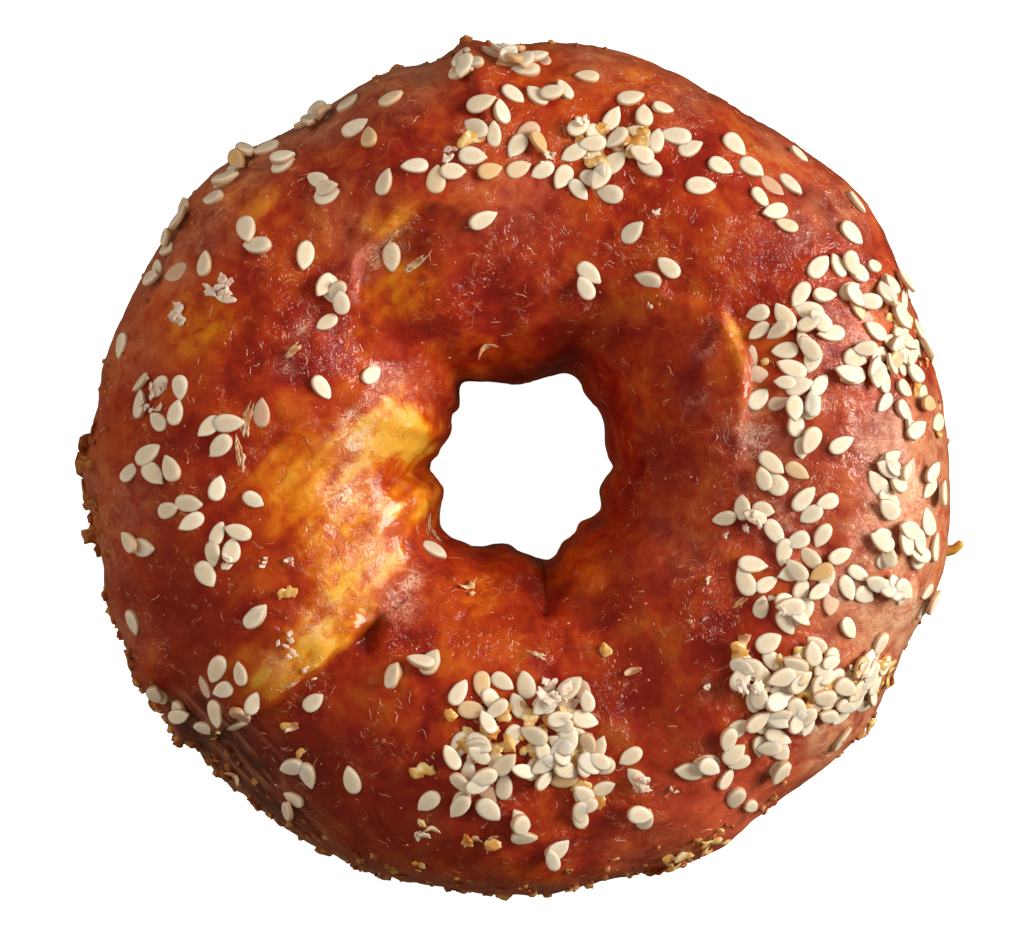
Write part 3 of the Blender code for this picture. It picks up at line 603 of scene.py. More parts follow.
# Heaps where more seeds lie on those below, in the same way.
SEED_HEAPS = (
    (262, 33.5, 4, 3.5, 5), (277, 33.5, 4.5, 4.5, 9), (280, 28.2, 3.5, 1.8, 3), (282, 40.1, 2.5, 1.5, 2),
    (322, 42, 5, 4.5, 10), (327, 46.5, 3.5, 2, 6), (337, 36, 3, 3, 4), (79, 40, 3.5, 2, 2),
    (72, 39, 3.5, 2, 2), (19, 44, 4, 3, 4),
)
SEED_LENGTH, SEED_WIDTH, SEED_THICKNESS = 3.35 * MM, 2.1 * MM, 1.3 * MM
# How high a seed lies in the glaze, and how much higher on another one that is nearer than the spacing.
SEED_LIFT, SEED_LAYER, SEED_SPACING = 0.12 * MM, 0.85 * MM, 2.1 * MM
# How much the seeds differ in size, as a share, and how far they tilt, in radians. A free place is looked
# for this many times.
SIZE_SPREAD, TILT_SPREAD, PLACE_TRIES = 0.12, 0.12, 30
# A seed's place reaches this share of the way from the middle of the dough to its rim or hole.
RIM_SHARE = 0.985
# The skin's directions are taken over this many degrees each way.
FRAME_STEP = 2.0
# The seeds' places are drawn from this number, and their forms from the next one.
SEED_DRAW = 41


def section_angle(around, radius):
    """The section angle, on the upper side, of the point this far from the axis in plan."""
    outer = OUTER_RADIUS + bumps(np.array([around]), OUTLINE_BUMPS)[0]
    hole = HOLE_RADIUS + bumps(np.array([around]), HOLE_BUMPS)[0]
    share = (radius - (outer + hole) / 2.0) / ((outer - hole) / 2.0)
    share = max(-RIM_SHARE, min(RIM_SHARE, share))
    return math.degrees(math.acos(math.copysign(abs(share) ** (1.0 / TOP_FULLNESS), share)))


def skin_frame(around, across):
    """(point, direction round the ring, direction across it, outward normal) of the skin there."""
    steps = np.array([[0, -1, 1, 0, 0], [0, 0, 0, -1, 1]]) * FRAME_STEP
    p = [Vector(v) for v in skin_points(around + steps[0], across + steps[1])]
    round_ring = (p[2] - p[1]).normalized()
    normal = round_ring.cross(p[4] - p[3]).normalized()
    if normal.dot(p[0] - Vector((p[0].x, p[0].y, 0.0)).normalized() * MEAN_RADIUS * MM) < 0.0:
        normal.negate()
    return p[0], round_ring, normal.cross(round_ring).normalized(), normal


def settled(around, across):
    """The skin's frame there, moved onto the finely wrinkled crust."""
    place, round_ring, over_ring, normal = skin_frame(around, across)
    return crust_tree.find_nearest(place)[0], round_ring, over_ring, normal


def draw_seeds():
    """Every seed as (plan angle, plan radius, heading, size, tilt, lift): the lone ones, then patch by
    patch. One that finds no free place lies on those already there."""
    dice = random.Random(SEED_DRAW)
    seeds, places = [], []

    def lay(angle, radius, heading, lift):
        size = 1.0 + dice.uniform(-SIZE_SPREAD, SIZE_SPREAD)
        tilt = dice.gauss(0.0, TILT_SPREAD)
        places.append(Vector((radius * math.cos(angle), radius * math.sin(angle))))
        seeds.append((math.degrees(angle), radius, heading, size, tilt, lift))

    def drawn_place(angle, radius, half_length, half_width, taken):
        """(plan angle, plan radius, place, whether it is free) of a place in this patch: the first that is
        clear of those taken, or else the last one tried."""
        for _ in range(PLACE_TRIES):
            turn, share = dice.uniform(0.0, math.tau), math.sqrt(dice.random())
            r = (radius + half_width * share * math.sin(turn)) * MM
            a = math.radians(angle) + half_length * share * math.cos(turn) * MM / r
            place = Vector((r * math.cos(a), r * math.sin(a)))
            if all((place - other).length > SEED_SPACING for other in taken):
                return a, r, place, True
        return a, r, place, False

    for angle, radius, pointing in LONE_SEEDS:
        lay(math.radians(angle), radius * MM, math.radians(pointing - angle - 90.0), SEED_LIFT)
    for *patch, count in SEED_PATCHES:
        for _ in range(count):
            a, r, _, is_free = drawn_place(*patch, places)
            lay(a, r, dice.uniform(0.0, math.tau), SEED_LIFT + (0.0 if is_free else SEED_LAYER))
    above = []
    for *heap, count in SEED_HEAPS:
        for _ in range(count):
            a, r, place, _ = drawn_place(*heap, above)
            above.append(place)
            is_over = any((place - other).length < SEED_SPACING for other in places)
            lay(a, r, dice.uniform(0.0, math.tau), SEED_LIFT + (SEED_LAYER if is_over else 0.0))
    return seeds


# A seed is rings of corners that crowd towards its edge, and takes up this share of its thickness.
SEED_SIDES, SEED_RINGS, EDGE_CROWDING, TRUE_THICKNESS = 18, 10, 0.2, 0.64
# How flat its sides are, how pointed its tip, how dished its middle, and where and how far its tip draws
# in to a blunt nib, as shares of its half length and width.
SEED_FLATNESS, SEED_POINT, SEED_DISH = 0.4, 0.3, 0.12
NUB_PLACE, NUB_LENGTH, NIB_BLUNTNESS, TIP_THINNING = 0.88, 0.2, 0.35, 0.2
# What each seed draws of its own: shares of the usual form, and of its length and width.
SEED_TAPERS, SEED_NUBS, SEED_NIBS = (0.14, 0.32), (0.1, 0.4), (0.14, 0.3)
SEED_LENGTHS, SEED_WIDTHS = (0.9, 1.06), (0.84, 1.04)
# How far it rolls to a side, and how much more unsteady it is on top of others.
ROLL_SPREAD, UNSTEADY = 0.14, 1.8
TOASTED_SHARE, TOASTED, UNTOASTED = 0.06, (0.3, 0.8), (0.0, 0.15)
SUNK_SHARE, SUNK, SUNK_DEPTH = 0.06, (0.4, 0.7), 0.35 * MM
# Painted light and shade: a pale painted glow runs inside the edge, a brown outline of painted shade
# runs round it, and the underside is painted as brown as that.
PAINTED_GLOW_AT, PAINTED_GLOW_REACH = 0.78, 0.24
OUTLINE_SHADE_FROM, OUTLINE_SHADE_SHARE, SEED_UNDERSIDE = 0.93, 0.7, -0.1 * MM


def drop_points(taper, nub, nib):
    """(points, reaches) of one seed round its middle, from its tip at +X: a flat, slightly dished oval,
    narrower towards the tip by this taper, where it draws in by this nub to a blunt nib of this width.
    The reaches run from 0 in the middle of its flat side to 1 at its edge."""
    points, reaches = [(SEED_LENGTH / 2.0, 0.0, 0.0)], [1.0]
    for ring in range(1, SEED_RINGS + 1):
        along = math.pi * ring / (SEED_RINGS + 1)
        x, s = math.cos(along), math.sin(along)
        body = s ** (1.0 + SEED_POINT * max(x, 0.0)) * (1.0 - taper * x)
        body *= 1.0 - nub * math.exp(-(((x - NUB_PLACE) / NUB_LENGTH) ** 2))
        tip = nib * s**NIB_BLUNTNESS if x > 0.0 else 0.0
        half_width = (body**3 + tip**3) ** (1.0 / 3.0)
        for side in range(SEED_SIDES):
            turn = math.tau * side / SEED_SIDES
            turn -= EDGE_CROWDING * math.sin(2.0 * turn)
            y, up = half_width * math.cos(turn), math.sin(turn)
            reach = math.sqrt(1.0 - (s * up) ** 2)
            z = s**SEED_FLATNESS * math.copysign(abs(up) ** SEED_FLATNESS, up) * (1.0 - TIP_THINNING * x)
            z *= TRUE_THICKNESS * (1.0 - SEED_DISH * (1.0 - reach**2))
            points.append((x * SEED_LENGTH / 2.0, y * SEED_WIDTH / 2.0, z * SEED_THICKNESS / 2.0))
            reaches.append(reach)
    points.append((-SEED_LENGTH / 2.0, 0.0, 0.0))
    return np.array(points), np.array(reaches + [1.0])


def closed_faces(rings, sides):
    """Faces of a closed form: a pole, then rings that turn left as seen from it, then the other pole."""
    last = rings * sides + 1
    faces = []
    for side in range(sides):
        after = (side + 1) % sides
        faces.append((0, 1 + side, 1 + after))
        faces.append((last, last - sides + after, last - sides + side))
        for ring in range(rings - 1):
            a, b = 1 + ring * sides + side, 1 + ring * sides + after
            faces.append((a, a + sides, b + sides, b))
    return faces


def placed(points, turn, place):
    """These points, turned and then moved."""
    return points @ np.array(turn).T + np.array(place)


def joined_piece(name, forms, material):
    """One smooth object of many closed forms, each given as (points, faces, tints by name)."""
    points, faces, tints = [], [], {}
    count = 0
    for form_points, form_faces, form_tints in forms:
        points.append(form_points)
        faces.extend(tuple(corner + count for corner in face) for face in form_faces)
        for tint, value in form_tints.items():
            tints.setdefault(tint, []).append(np.broadcast_to(value, len(form_points)))
        count += len(form_points)
    piece = mesh_piece(name, np.concatenate(points), faces, material)
    for tint, values in tints.items():
        point_values(piece, tint, np.concatenate(values))
    return piece


def hulled_sesame():
    """Hulled sesame: an ivory seed coat, satin from its own oil, a little see-through at the edges,
    golden where toasted and rosy where the glaze has covered it. A pale band inside the edge is painted
    light, and a brown outline and underside are painted shade."""
    material, tree, shader = new_material("hulled_sesame")
    place = add_node(tree, "TexCoord", {}, "Object")
    cloud = add_node(tree, "TexNoise", {"Vector": place, "Scale": 1.0 / (1.4 * MM), "Detail": 3.0})
    grain = add_node(tree, "TexNoise", {"Vector": place, "Scale": 1.0 / (0.35 * MM), "Detail": 3.0})
    colour = add_node(tree, "Mix", {"Factor": cloud, 6: "#F5F0E0", 7: "#E9DFC6"}, 2, data_type="RGBA")
    # The pale band inside the edge is painted light; the brown edge and underside are painted shade.
    for name, code in (
        ("painted_edge_glow", "#FEFBF2"), ("toast", "#E2B56C"), ("sunk", "#CC9070"), ("painted_outline_shade", "#BC8A58"),
    ):
        share = add_node(tree, "Attribute", {}, "Fac", attribute_name=name)
        colour = add_node(tree, "Mix", {"Factor": share, 6: colour, 7: code}, 2, data_type="RGBA")
    coat = add_node(tree, "Bump", {"Strength": 0.4, "Distance": 0.1 * MM, "Height": grain})
    set_inputs(tree, shader, {
        "Base Color": colour, "Roughness": 0.42, "Normal": coat, "IOR": 1.47,
        "Subsurface Weight": 0.4, "Subsurface Radius": (1.0, 0.85, 0.6), "Subsurface Scale": 0.6 * MM,
    })
    return material


seed_faces = closed_faces(SEED_RINGS, SEED_SIDES)
forms = []
dice = random.Random(SEED_DRAW + 1)
for angle, radius, heading, size, tilt, lift in draw_seeds():
    place, round_ring, over_ring, normal = settled(angle, section_angle(angle, radius))
    is_sunk = dice.random() < SUNK_SHARE and lift == SEED_LIFT
    is_toasted = dice.random() < TOASTED_SHARE
    base = Matrix((round_ring, over_ring, normal)).transposed()
    unsteady = 1.0 if lift == SEED_LIFT else UNSTEADY
    turned = Matrix.Rotation(heading, 3, "Z") @ Matrix.Rotation(tilt * unsteady, 3, "Y")
    turned = turned @ Matrix.Rotation(dice.gauss(0.0, ROLL_SPREAD * unsteady), 3, "X")
    lifted = place + normal * (lift - (SUNK_DEPTH if is_sunk else 0.0))
    drop, reach = drop_points(*(dice.uniform(*span) for span in (SEED_TAPERS, SEED_NUBS, SEED_NIBS)))
    drop = drop * np.array([size * dice.uniform(*SEED_LENGTHS), size * dice.uniform(*SEED_WIDTHS), size])
    # Painted shade: brown round the edge and over the underside, where the seed meets the crust.
    outline_shade = np.clip((reach - OUTLINE_SHADE_FROM) / (1.0 - OUTLINE_SHADE_FROM), 0.0, 1.0) * OUTLINE_SHADE_SHARE
    forms.append((placed(drop, base @ turned, lifted), seed_faces, {
        "toast": dice.uniform(*(TOASTED if is_toasted else UNTOASTED)),
        "sunk": dice.uniform(*SUNK) if is_sunk else 0.0,
        "painted_edge_glow": np.clip(1.0 - np.abs(reach - PAINTED_GLOW_AT) / PAINTED_GLOW_REACH, 0.0, 1.0),
        "painted_outline_shade": np.where(drop[:, 2] < SEED_UNDERSIDE, OUTLINE_SHADE_SHARE, outline_shade),
    }))
seeds = joined_piece("sesame_seeds", forms, hulled_sesame())
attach(seeds, "root")
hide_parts("bagel")
seed_tree = BVHTree.FromObject(seeds, bpy.context.evaluated_depsgraph_get())

# --- Torn hulls -------------------------------------------------------------------------------------
# Coats of seeds that were crushed or rubbed: white ragged flakes, half a millimetre to three across,
# stuck in the glaze singly and in small clusters.

# (x, y, how far they spread, how many, length), in mm in plan.
TORN_HULLS = (
    (-39.7, 17.9, 0.7, 5, 2.6), (-35, 20.8, 1.3, 8, 2.7), (-43.2, 8.5, 2.2, 12, 1.3),
    (16.2, 30.1, 0.5, 3, 1), (15.7, 19.1, 0.3, 2, 0.8), (-34.2, -11.2, 0.8, 4, 1.6),
    (-30, -11.1, 0.6, 3, 0.9), (-26.9, -11.1, 0.6, 3, 1), (-27.2, -21.1, 1.6, 7, 1.3),
    (-24.6, -24.3, 0.8, 3, 0.9), (22.1, -13.4, 0.3, 2, 0.9), (24.6, -8.2, 0.4, 2, 1),
    (22.1, -17.7, 0.3, 1, 0.8), (22.1, -25.9, 0.5, 3, 1), (18.3, -37.9, 0.3, 2, 1),
    (27.1, -25.3, 1.3, 7, 2.2), (14.5, -36.8, 1, 6, 2), (4.4, -26.6, 1.8, 10, 2.4),
    (-11.2, -43.2, 0.6, 2, 2.4), (27.5, -6.5, 1.2, 4, 1.9), (3.2, 36.2, 1.2, 4, 1.7),
    (30, -16.5, 1.4, 4, 1.4), (-7.8, 36.5, 1, 4, 1.6), (7.4, 41, 0.9, 3, 1.6), (40, -24, 1.2, 4, 1.5),
)
# A flake's thickness and lift are in mm and its lean in radians. The rest are shares: of the row's length
# for its own, of its own length for its width and curl, and of its reach for its raggedness.
HULL_THICKNESS, HULL_RAGGEDNESS, HULL_LEAN = 0.22, 0.42, 0.25
HULL_SIZES, HULL_WIDTHS, HULL_CURLS, HULL_LIFTS = (0.45, 1.0), (0.4, 0.8), (0.0, 0.2), (0.05, 0.7)
# A flake is rings of this many points: (share of the way out, side), from the middle of its upper side
# round its edge to the middle of its lower side. The outer ones are torn by these shares.
FLAKE_SIDES = 15
FLAKE_RINGS = ((0.0, 1.0), (0.55, 1.0), (0.95, 0.8), (1.0, -0.2), (0.55, -1.0), (0.0, -1.0))
FLAKE_TEARS, TORN_BEYOND = (-1.0, 0.6), 0.6
FLAKE_CROSS_BEND, FLAKE_UNEVENNESS = 0.3, 0.3
DROP_HEIGHT = 60.0 * MM
DOWN = Vector((0.0, 0.0, -1.0))


def scattered(dice, x, y, half_x, half_y):
    """A drawn place in the oval round this one, in mm in plan."""
    turn, off = dice.uniform(0.0, math.tau), math.sqrt(dice.random())
    return x + half_x * off * math.cos(turn), y + half_y * off * math.sin(turn)


def on_top(x, y):
    """(point, normal) of the crust's upper side at this place in plan, in mm, or of its rim beside it."""
    above = Vector((x * MM, y * MM, DROP_HEIGHT))
    place, normal, _, _ = crust_tree.ray_cast(above, DOWN)
    if place is None:
        place, normal, _, _ = crust_tree.find_nearest(Vector((x * MM, y * MM, WAIST_HEIGHT)))
    return place, normal


def seed_above(x, y):
    """The top of the seed that lies at this place in plan, in mm, or None."""
    return seed_tree.ray_cast(Vector((x * MM, y * MM, DROP_HEIGHT)), DOWN)[0]


def laid_on(normal, heading, tilt, roll):
    """A turn that lays a form on a surface with this normal, its +X towards this heading in plan."""
    forward = Vector((math.cos(heading), math.sin(heading), 0.0))
    forward = (forward - normal * forward.dot(normal)).normalized()
    base = Matrix((forward, normal.cross(forward), normal)).transposed()
    return base @ Matrix.Rotation(tilt, 3, "Y") @ Matrix.Rotation(roll, 3, "X")


def torn_flake(dice, length, width, thickness, curl, raggedness):
    """Points of a thin flake round its middle, with a torn outline, bent up at both ends."""
    reach = [1.0 + raggedness * dice.uniform(*FLAKE_TEARS) for _ in range(FLAKE_SIDES)]
    start = dice.uniform(0.0, math.pi)
    points = []
    for share, side_of in FLAKE_RINGS:
        for side in range(FLAKE_SIDES if share else 1):
            turn = start + math.tau * side / FLAKE_SIDES
            r = share * (reach[side] if share > TORN_BEYOND else 1.0)
            x, y = r * math.cos(turn) * length / 2.0, r * math.sin(turn) * width / 2.0
            bend = curl * ((2.0 * x / length) ** 2 - FLAKE_CROSS_BEND * (2.0 * y / width) ** 2) * length
            uneven = dice.uniform(-FLAKE_UNEVENNESS, FLAKE_UNEVENNESS) * thickness if share else 0.0
            points.append((x, y, bend + side_of * thickness / 2.0 + uneven))
    return np.array(points)


def torn_hull_coat():
    """Torn sesame coat: thin, dry and nearly white, see-through at its edges, with a dull sheen."""
    material, tree, shader = new_material("torn_sesame_coat")
    place = add_node(tree, "TexCoord", {}, "Object")
    cloud = add_node(tree, "TexNoise", {
        "Vector": place, "Scale": 1.0 / (0.9 * MM), "Detail": 4.0, "Roughness": 0.65,
    })
    colour = add_node(tree, "ValToRGB", {"Fac": cloud}, stops=((0.36, "#E4BCA4"), (0.52, "#FCEEE2")))
    crease = add_node(tree, "Bump", {"Strength": 0.7, "Distance": 0.15 * MM, "Height": cloud})
    set_inputs(tree, shader, {
        "Base Color": colour, "Roughness": 0.5, "Normal": crease, "IOR": 1.47,
        "Subsurface Weight": 0.3, "Subsurface Radius": (1.0, 0.7, 0.5), "Subsurface Scale": 0.5 * MM,
    })
    return material


flake_faces = closed_faces(len(FLAKE_RINGS) - 2, FLAKE_SIDES)
forms = []
dice = random.Random(5)
for x, y, spread, count, length in TORN_HULLS:
    for _ in range(count):
        hull_x, hull_y = scattered(dice, x, y, spread, spread)
        place, normal = on_top(hull_x, hull_y)
        place = seed_above(hull_x, hull_y) or place
        long = length * dice.uniform(*HULL_SIZES) * MM
        wide, curl = long * dice.uniform(*HULL_WIDTHS), dice.uniform(*HULL_CURLS)
        flake = torn_flake(dice, long, wide, HULL_THICKNESS * MM, curl, HULL_RAGGEDNESS)
        heading = dice.uniform(0.0, math.tau)
        turned = laid_on(normal, heading, dice.gauss(0.0, HULL_LEAN), dice.gauss(0.0, HULL_LEAN))
        lifted = place + normal * dice.uniform(*HULL_LIFTS) * MM
        forms.append((placed(flake, turned, lifted), flake_faces, {}))
torn_hulls = joined_piece("torn_hulls", forms, torn_hull_coat())
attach(torn_hulls, "root")

# --- Hardened syrup ---------------------------------------------------------------------------------
# Syrup that ran between the seeds of a heap and set there in one pale golden film, and crumbs of baked
# crust with syrup on them: lumps of half a millimetre to two and a half, glossy, and clear at the edges.

# Pools, melted together: (x, y, half length along x, half width along y, how many lumps), in mm in plan.
SYRUP_POOLS = (
    (-3.6, -33.2, 3.2, 2.6, 18), (4.2, -32.4, 4.2, 4, 36), (8.5, -38.2, 2, 1.2, 6),
    (-0.5, -28.8, 1.8, 1, 4), (33.5, -25.5, 4.8, 3.6, 34), (40, -25.5, 4, 1.4, 20), (43.5, -24, 2, 1, 7),
    (9.5, 37.8, 3.6, 2, 12), (13.5, 38.5, 2, 2.2, 10), (-6.5, 47.2, 1, 0.6, 3), (44, 17, 1.6, 0.8, 5),
    (47, 9.5, 0.5, 1.2, 4), (-5.5, 39, 1.5, 1, 4),
)
POOL_LUMP, POOL_VOXEL, POOL_SMOOTHING = (1.1, 2.6), 0.16 * MM, 6
# Crumbs: (x, y, spread, how many, length), in mm in plan.
CRUMBS = (
    (-27.2, -14.3, 1, 3, 2.2), (-27.2, -30.3, 0.6, 2, 2.2), (-25.6, -33.7, 0.6, 2, 1.5),
    (-10.2, -34.9, 1, 3, 1.9), (-11.6, -36, 0.6, 2, 1.8), (-11.1, -41.9, 0.5, 2, 2),
    (-6, -43.6, 0.5, 2, 2), (-3.3, -44.2, 0.4, 2, 2.4), (-11.7, -47.1, 0.8, 3, 1.6),
    (-5.6, -14.5, 0.6, 3, 1.4), (10.6, -21.5, 0.6, 2, 1.6), (-7.5, -29, 0.5, 2, 1.6),
    (-3.2, -30.8, 0.6, 3, 2), (29, 12.7, 0.6, 2, 1.6), (47.7, 12.3, 0.7, 3, 1.4),
    (49.7, 4.3, 0.5, 2, 1.4), (-36, -30, 2, 3, 1.3), (26, -21.5, 0.6, 2, 2.2), (15.3, 38.1, 0.6, 2, 1.3),
    (42.5, -31.5, 0.8, 3, 2), (46, 17.5, 0.4, 2, 1.5), (18, -47, 0.8, 5, 2.2), (20, -46.3, 0.8, 5, 2.2),
    (22, -45, 0.9, 5, 2), (24, -43.6, 0.9, 5, 1.8),
)
CRUMB_SIZES = (0.4, 1.0)
# A lump's form and place, as shares of its length.
LUMP_WIDTHS, LUMP_HEIGHTS, LUMP_LIFTS, LUMP_LEAN = (0.6, 1.0), (0.25, 0.5), (0.1, 0.3), 0.3
POOL_SINK, POOL_FLATNESS = 0.1, 0.8
CRUMB_SINK, CRUMB_FLATNESS = -0.05, 1.0
BEAD_SIDES, BEAD_RINGS = 10, 6
BEAD_UNEVENNESS, BEAD_BUMPS, BEAD_DRAWS = 0.8, 1.9, 50.0


def bead(dice, length, width, height, rings, sides):
    """Points of a small lump round its middle, uneven all over."""
    shift = Vector((dice.uniform(0.0, BEAD_DRAWS), dice.uniform(0.0, BEAD_DRAWS), 0.0))
    points = []
    for ring in range(rings + 2):
        along = math.pi * ring / (rings + 1)
        for side in range(sides if 0 < ring <= rings else 1):
            turn = math.tau * side / sides
            out = math.sin(along)
            way = Vector((math.cos(along), out * math.cos(turn), out * math.sin(turn)))
            way *= 1.0 + BEAD_UNEVENNESS * noise.noise(way * BEAD_BUMPS + shift)
            points.append((way.x * length / 2.0, way.y * width / 2.0, way.z * height / 2.0))
    return np.array(points)


def set_syrup():
    """Sugar syrup set hard over crumb: golden, clear at its edges, with a wet-looking gloss."""
    material, tree, shader = new_material("set_syrup")
    place = add_node(tree, "TexCoord", {}, "Object")
    cloud = add_node(tree, "TexNoise", {"Vector": place, "Scale": 1.0 / (1.8 * MM), "Detail": 3.0})
    colour = add_node(tree, "ValToRGB", {"Fac": cloud}, stops=(
        (0.36, "#D08C40"), (0.5, "#EBBB6C"), (0.64, "#F9E2B0"),
    ))
    set_inputs(tree, shader, {
        "Base Color": colour, "Roughness": 0.3, "IOR": 1.49,
        "Subsurface Weight": 0.5, "Subsurface Radius": (1.0, 0.6, 0.25), "Subsurface Scale": 1.0 * MM,
        "Coat Weight": 0.7, "Coat Roughness": 0.06,
    })
    return material


def syrup_lump(dice, x, y, size, sunk, flatness):
    """A lump of set syrup on the crust there, sunk in it by this share of its size, as a form."""
    place, normal = on_top(x, y)
    wide, high = size * dice.uniform(*LUMP_WIDTHS), size * dice.uniform(*LUMP_HEIGHTS) * flatness
    lump = bead(dice, size, wide, high, BEAD_RINGS, BEAD_SIDES)
    heading = dice.uniform(0.0, math.tau)
    turned = laid_on(normal, heading, dice.gauss(0.0, LUMP_LEAN), dice.gauss(0.0, LUMP_LEAN))
    lifted = place + normal * (dice.uniform(*LUMP_LIFTS) * size - sunk * size)
    return placed(lump, turned, lifted), bead_faces, {}


def melted(piece, voxel, smoothing):
    """Melts the piece's overlapping forms into one smooth skin."""
    bpy.context.view_layer.objects.active = piece
    remesh = piece.modifiers.new("melt", "REMESH")
    remesh.mode, remesh.voxel_size = "VOXEL", voxel
    smooth = piece.modifiers.new("smooth", "SMOOTH")
    smooth.iterations = smoothing
    for modifier in ("melt", "smooth"):
        bpy.ops.object.modifier_apply(modifier=modifier)
    piece.data.shade_smooth()


bead_faces = closed_faces(BEAD_RINGS, BEAD_SIDES)
forms = []
dice = random.Random(6)
for x, y, half_x, half_y, count in SYRUP_POOLS:
    for _ in range(count):
        place = scattered(dice, x, y, half_x, half_y)
        forms.append(syrup_lump(dice, *place, dice.uniform(*POOL_LUMP) * MM, POOL_SINK, POOL_FLATNESS))
for x, y, spread, count, length in CRUMBS:
    for _ in range(count):
        place = scattered(dice, x, y, spread, spread)
        size = length * dice.uniform(*CRUMB_SIZES) * MM
        forms.append(syrup_lump(dice, *place, size, CRUMB_SINK, CRUMB_FLATNESS))
syrup = joined_piece("set_syrup", forms, set_syrup())
melted(syrup, POOL_VOXEL, POOL_SMOOTHING)
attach(syrup, "root")

# --- Blistered skin ---------------------------------------------------------------------------------
# Steam raises the outermost skin in hair-thin curved ridges up to nearly two millimetres long, and in
# specks. They shine and lie in patches all over the top, and their pale colour is a painted glint.

# Lengths in mm. A ridge's bend and wiggle are shares of its length.
BLISTER_COUNT, BLISTER_RADII = 760, (13.0, 51.0)
BLISTER_LENGTHS, BLISTER_WIDTHS, BLISTER_LIFTS = (0.3, 1.8), (0.06, 0.14), (-0.03, 0.03)
BLISTER_BEND, BLISTER_WIGGLE, BLISTER_STRAY, BLISTER_SWELL = 0.8, 0.05, 0.9, (0.5, 1.3)
BLISTER_PATCH, BLISTER_DRAW, BLISTER_THINNING = 7.0, 3.0, (-0.5, 0.4)
# How pale each one is, as a painted glint.
BLISTER_GLINT_PALENESS = (1.3, 1.8)
TUBE_STEPS, TUBE_SIDES = 7, 4
# A line's bend is centred on its middle, and its ends dip under the crust, by these shares.
BEND_CENTRE, END_DIP = 0.08, 3.2
SPECK_SHARE, SPECK_SIZES, SPECK_WIDTHS, SPECK_HEIGHT = 0.4, (0.12, 0.4), (0.5, 1.0), 0.5
SPECK_SIDES, SPECK_RINGS = 6, 2


def thin_tube(centres, normals, radii, flatness=1.0):
    """Points of a thin tube along these centres, from a pole at the first to a pole at the last, as flat
    against the crust as this share of its width."""
    points = [centres[0]]
    for i in range(1, len(centres) - 1):
        axis = (centres[i - 1] - centres[i + 1]).normalized()
        across_axis = axis.cross(normals[i]).normalized()
        for side in range(TUBE_SIDES):
            turn = math.tau * side / TUBE_SIDES
            off = normals[i] * math.cos(turn) * flatness + across_axis * math.sin(turn)
            points.append(centres[i] + off * radii[i])
    points.append(centres[-1])
    return np.array(points)


def along_crust(dice, place, normal, heading, length, bend, wiggle, lift, steps):
    """Centres and normals of a curved line of this length that follows the crust from its middle."""
    forward = laid_on(normal, heading, 0.0, 0.0).col[0]
    aside = normal.cross(forward)
    centres, normals = [], []
    for step in range(steps):
        share = step / (steps - 1.0) - 0.5
        stray = bend * (share * share - BEND_CENTRE) + dice.gauss(0.0, wiggle)
        off = forward * length * share + aside * length * stray
        near, near_normal, _, _ = crust_tree.find_nearest(place + off)
        centres.append(near + near_normal * lift * (1.0 - END_DIP * share * share))
        normals.append(near_normal)
    return centres, normals


def blistered_skin():
    """A dry, lifted film of crust, glossy on its ridge: red to pale rose, its paleness a painted glint."""
    material, tree, shader = new_material("blistered_crust_film")
    glint_paleness = add_node(tree, "Attribute", {}, "Fac", attribute_name="glint_paleness")
    colour = add_node(tree, "ValToRGB", {"Fac": glint_paleness}, stops=(
        (0.0, "#CC6840"), (0.5, "#E39A78"), (1.0, "#F4CCB2"),
    ))
    set_inputs(tree, shader, {
        "Base Color": colour, "Roughness": 0.3, "IOR": 1.45,
        "Coat Weight": 0.6, "Coat Roughness": 0.12,
    })
    return material


tube_faces = closed_faces(TUBE_STEPS - 2, TUBE_SIDES)
speck_faces = closed_faces(SPECK_RINGS, SPECK_SIDES)
forms = []
dice = random.Random(7)
while len(forms) < BLISTER_COUNT:
    turn = dice.uniform(0.0, math.tau)
    reach = math.sqrt(dice.uniform(BLISTER_RADII[0] ** 2, BLISTER_RADII[1] ** 2))
    x, y = reach * math.cos(turn), reach * math.sin(turn)
    if noise.noise(Vector((x, y, BLISTER_DRAW)) / BLISTER_PATCH) < dice.uniform(*BLISTER_THINNING):
        continue
    if seed_above(x, y):
        continue
    place, normal = on_top(x, y)
    glint_paleness = {"glint_paleness": dice.betavariate(*BLISTER_GLINT_PALENESS)}
    if dice.random() < SPECK_SHARE:
        size = dice.uniform(*SPECK_SIZES) * MM
        wide = size * dice.uniform(*SPECK_WIDTHS)
        speck = bead(dice, size, wide, size * SPECK_HEIGHT, SPECK_RINGS, SPECK_SIDES)
        turned = laid_on(normal, dice.uniform(0.0, math.pi), 0.0, 0.0)
        forms.append((placed(speck, turned, place), speck_faces, glint_paleness))
        continue
    heading = turn + math.pi / 2.0 + dice.gauss(0.0, BLISTER_STRAY)
    length = dice.uniform(*BLISTER_LENGTHS) * MM
    bend, lift = dice.uniform(-BLISTER_BEND, BLISTER_BEND), dice.uniform(*BLISTER_LIFTS) * MM
    centres, normals = along_crust(
        dice, place, normal, heading, length, bend, BLISTER_WIGGLE, lift, TUBE_STEPS,
    )
    width = dice.uniform(*BLISTER_WIDTHS) * MM / 2.0
    tube = thin_tube(centres, normals, [width * dice.uniform(*BLISTER_SWELL) for _ in range(TUBE_STEPS)])
    forms.append((tube, tube_faces, glint_paleness))
blisters = joined_piece("skin_blisters", forms, blistered_skin())
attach(blisters, "root")

# --- The torn rim -----------------------------------------------------------------------------------
# Where the ring stuck to its neighbours or to the sheet the skin tore, and left rags of crust and
# crumb round the outer side, thickest on the left and at the bottom of the picture.

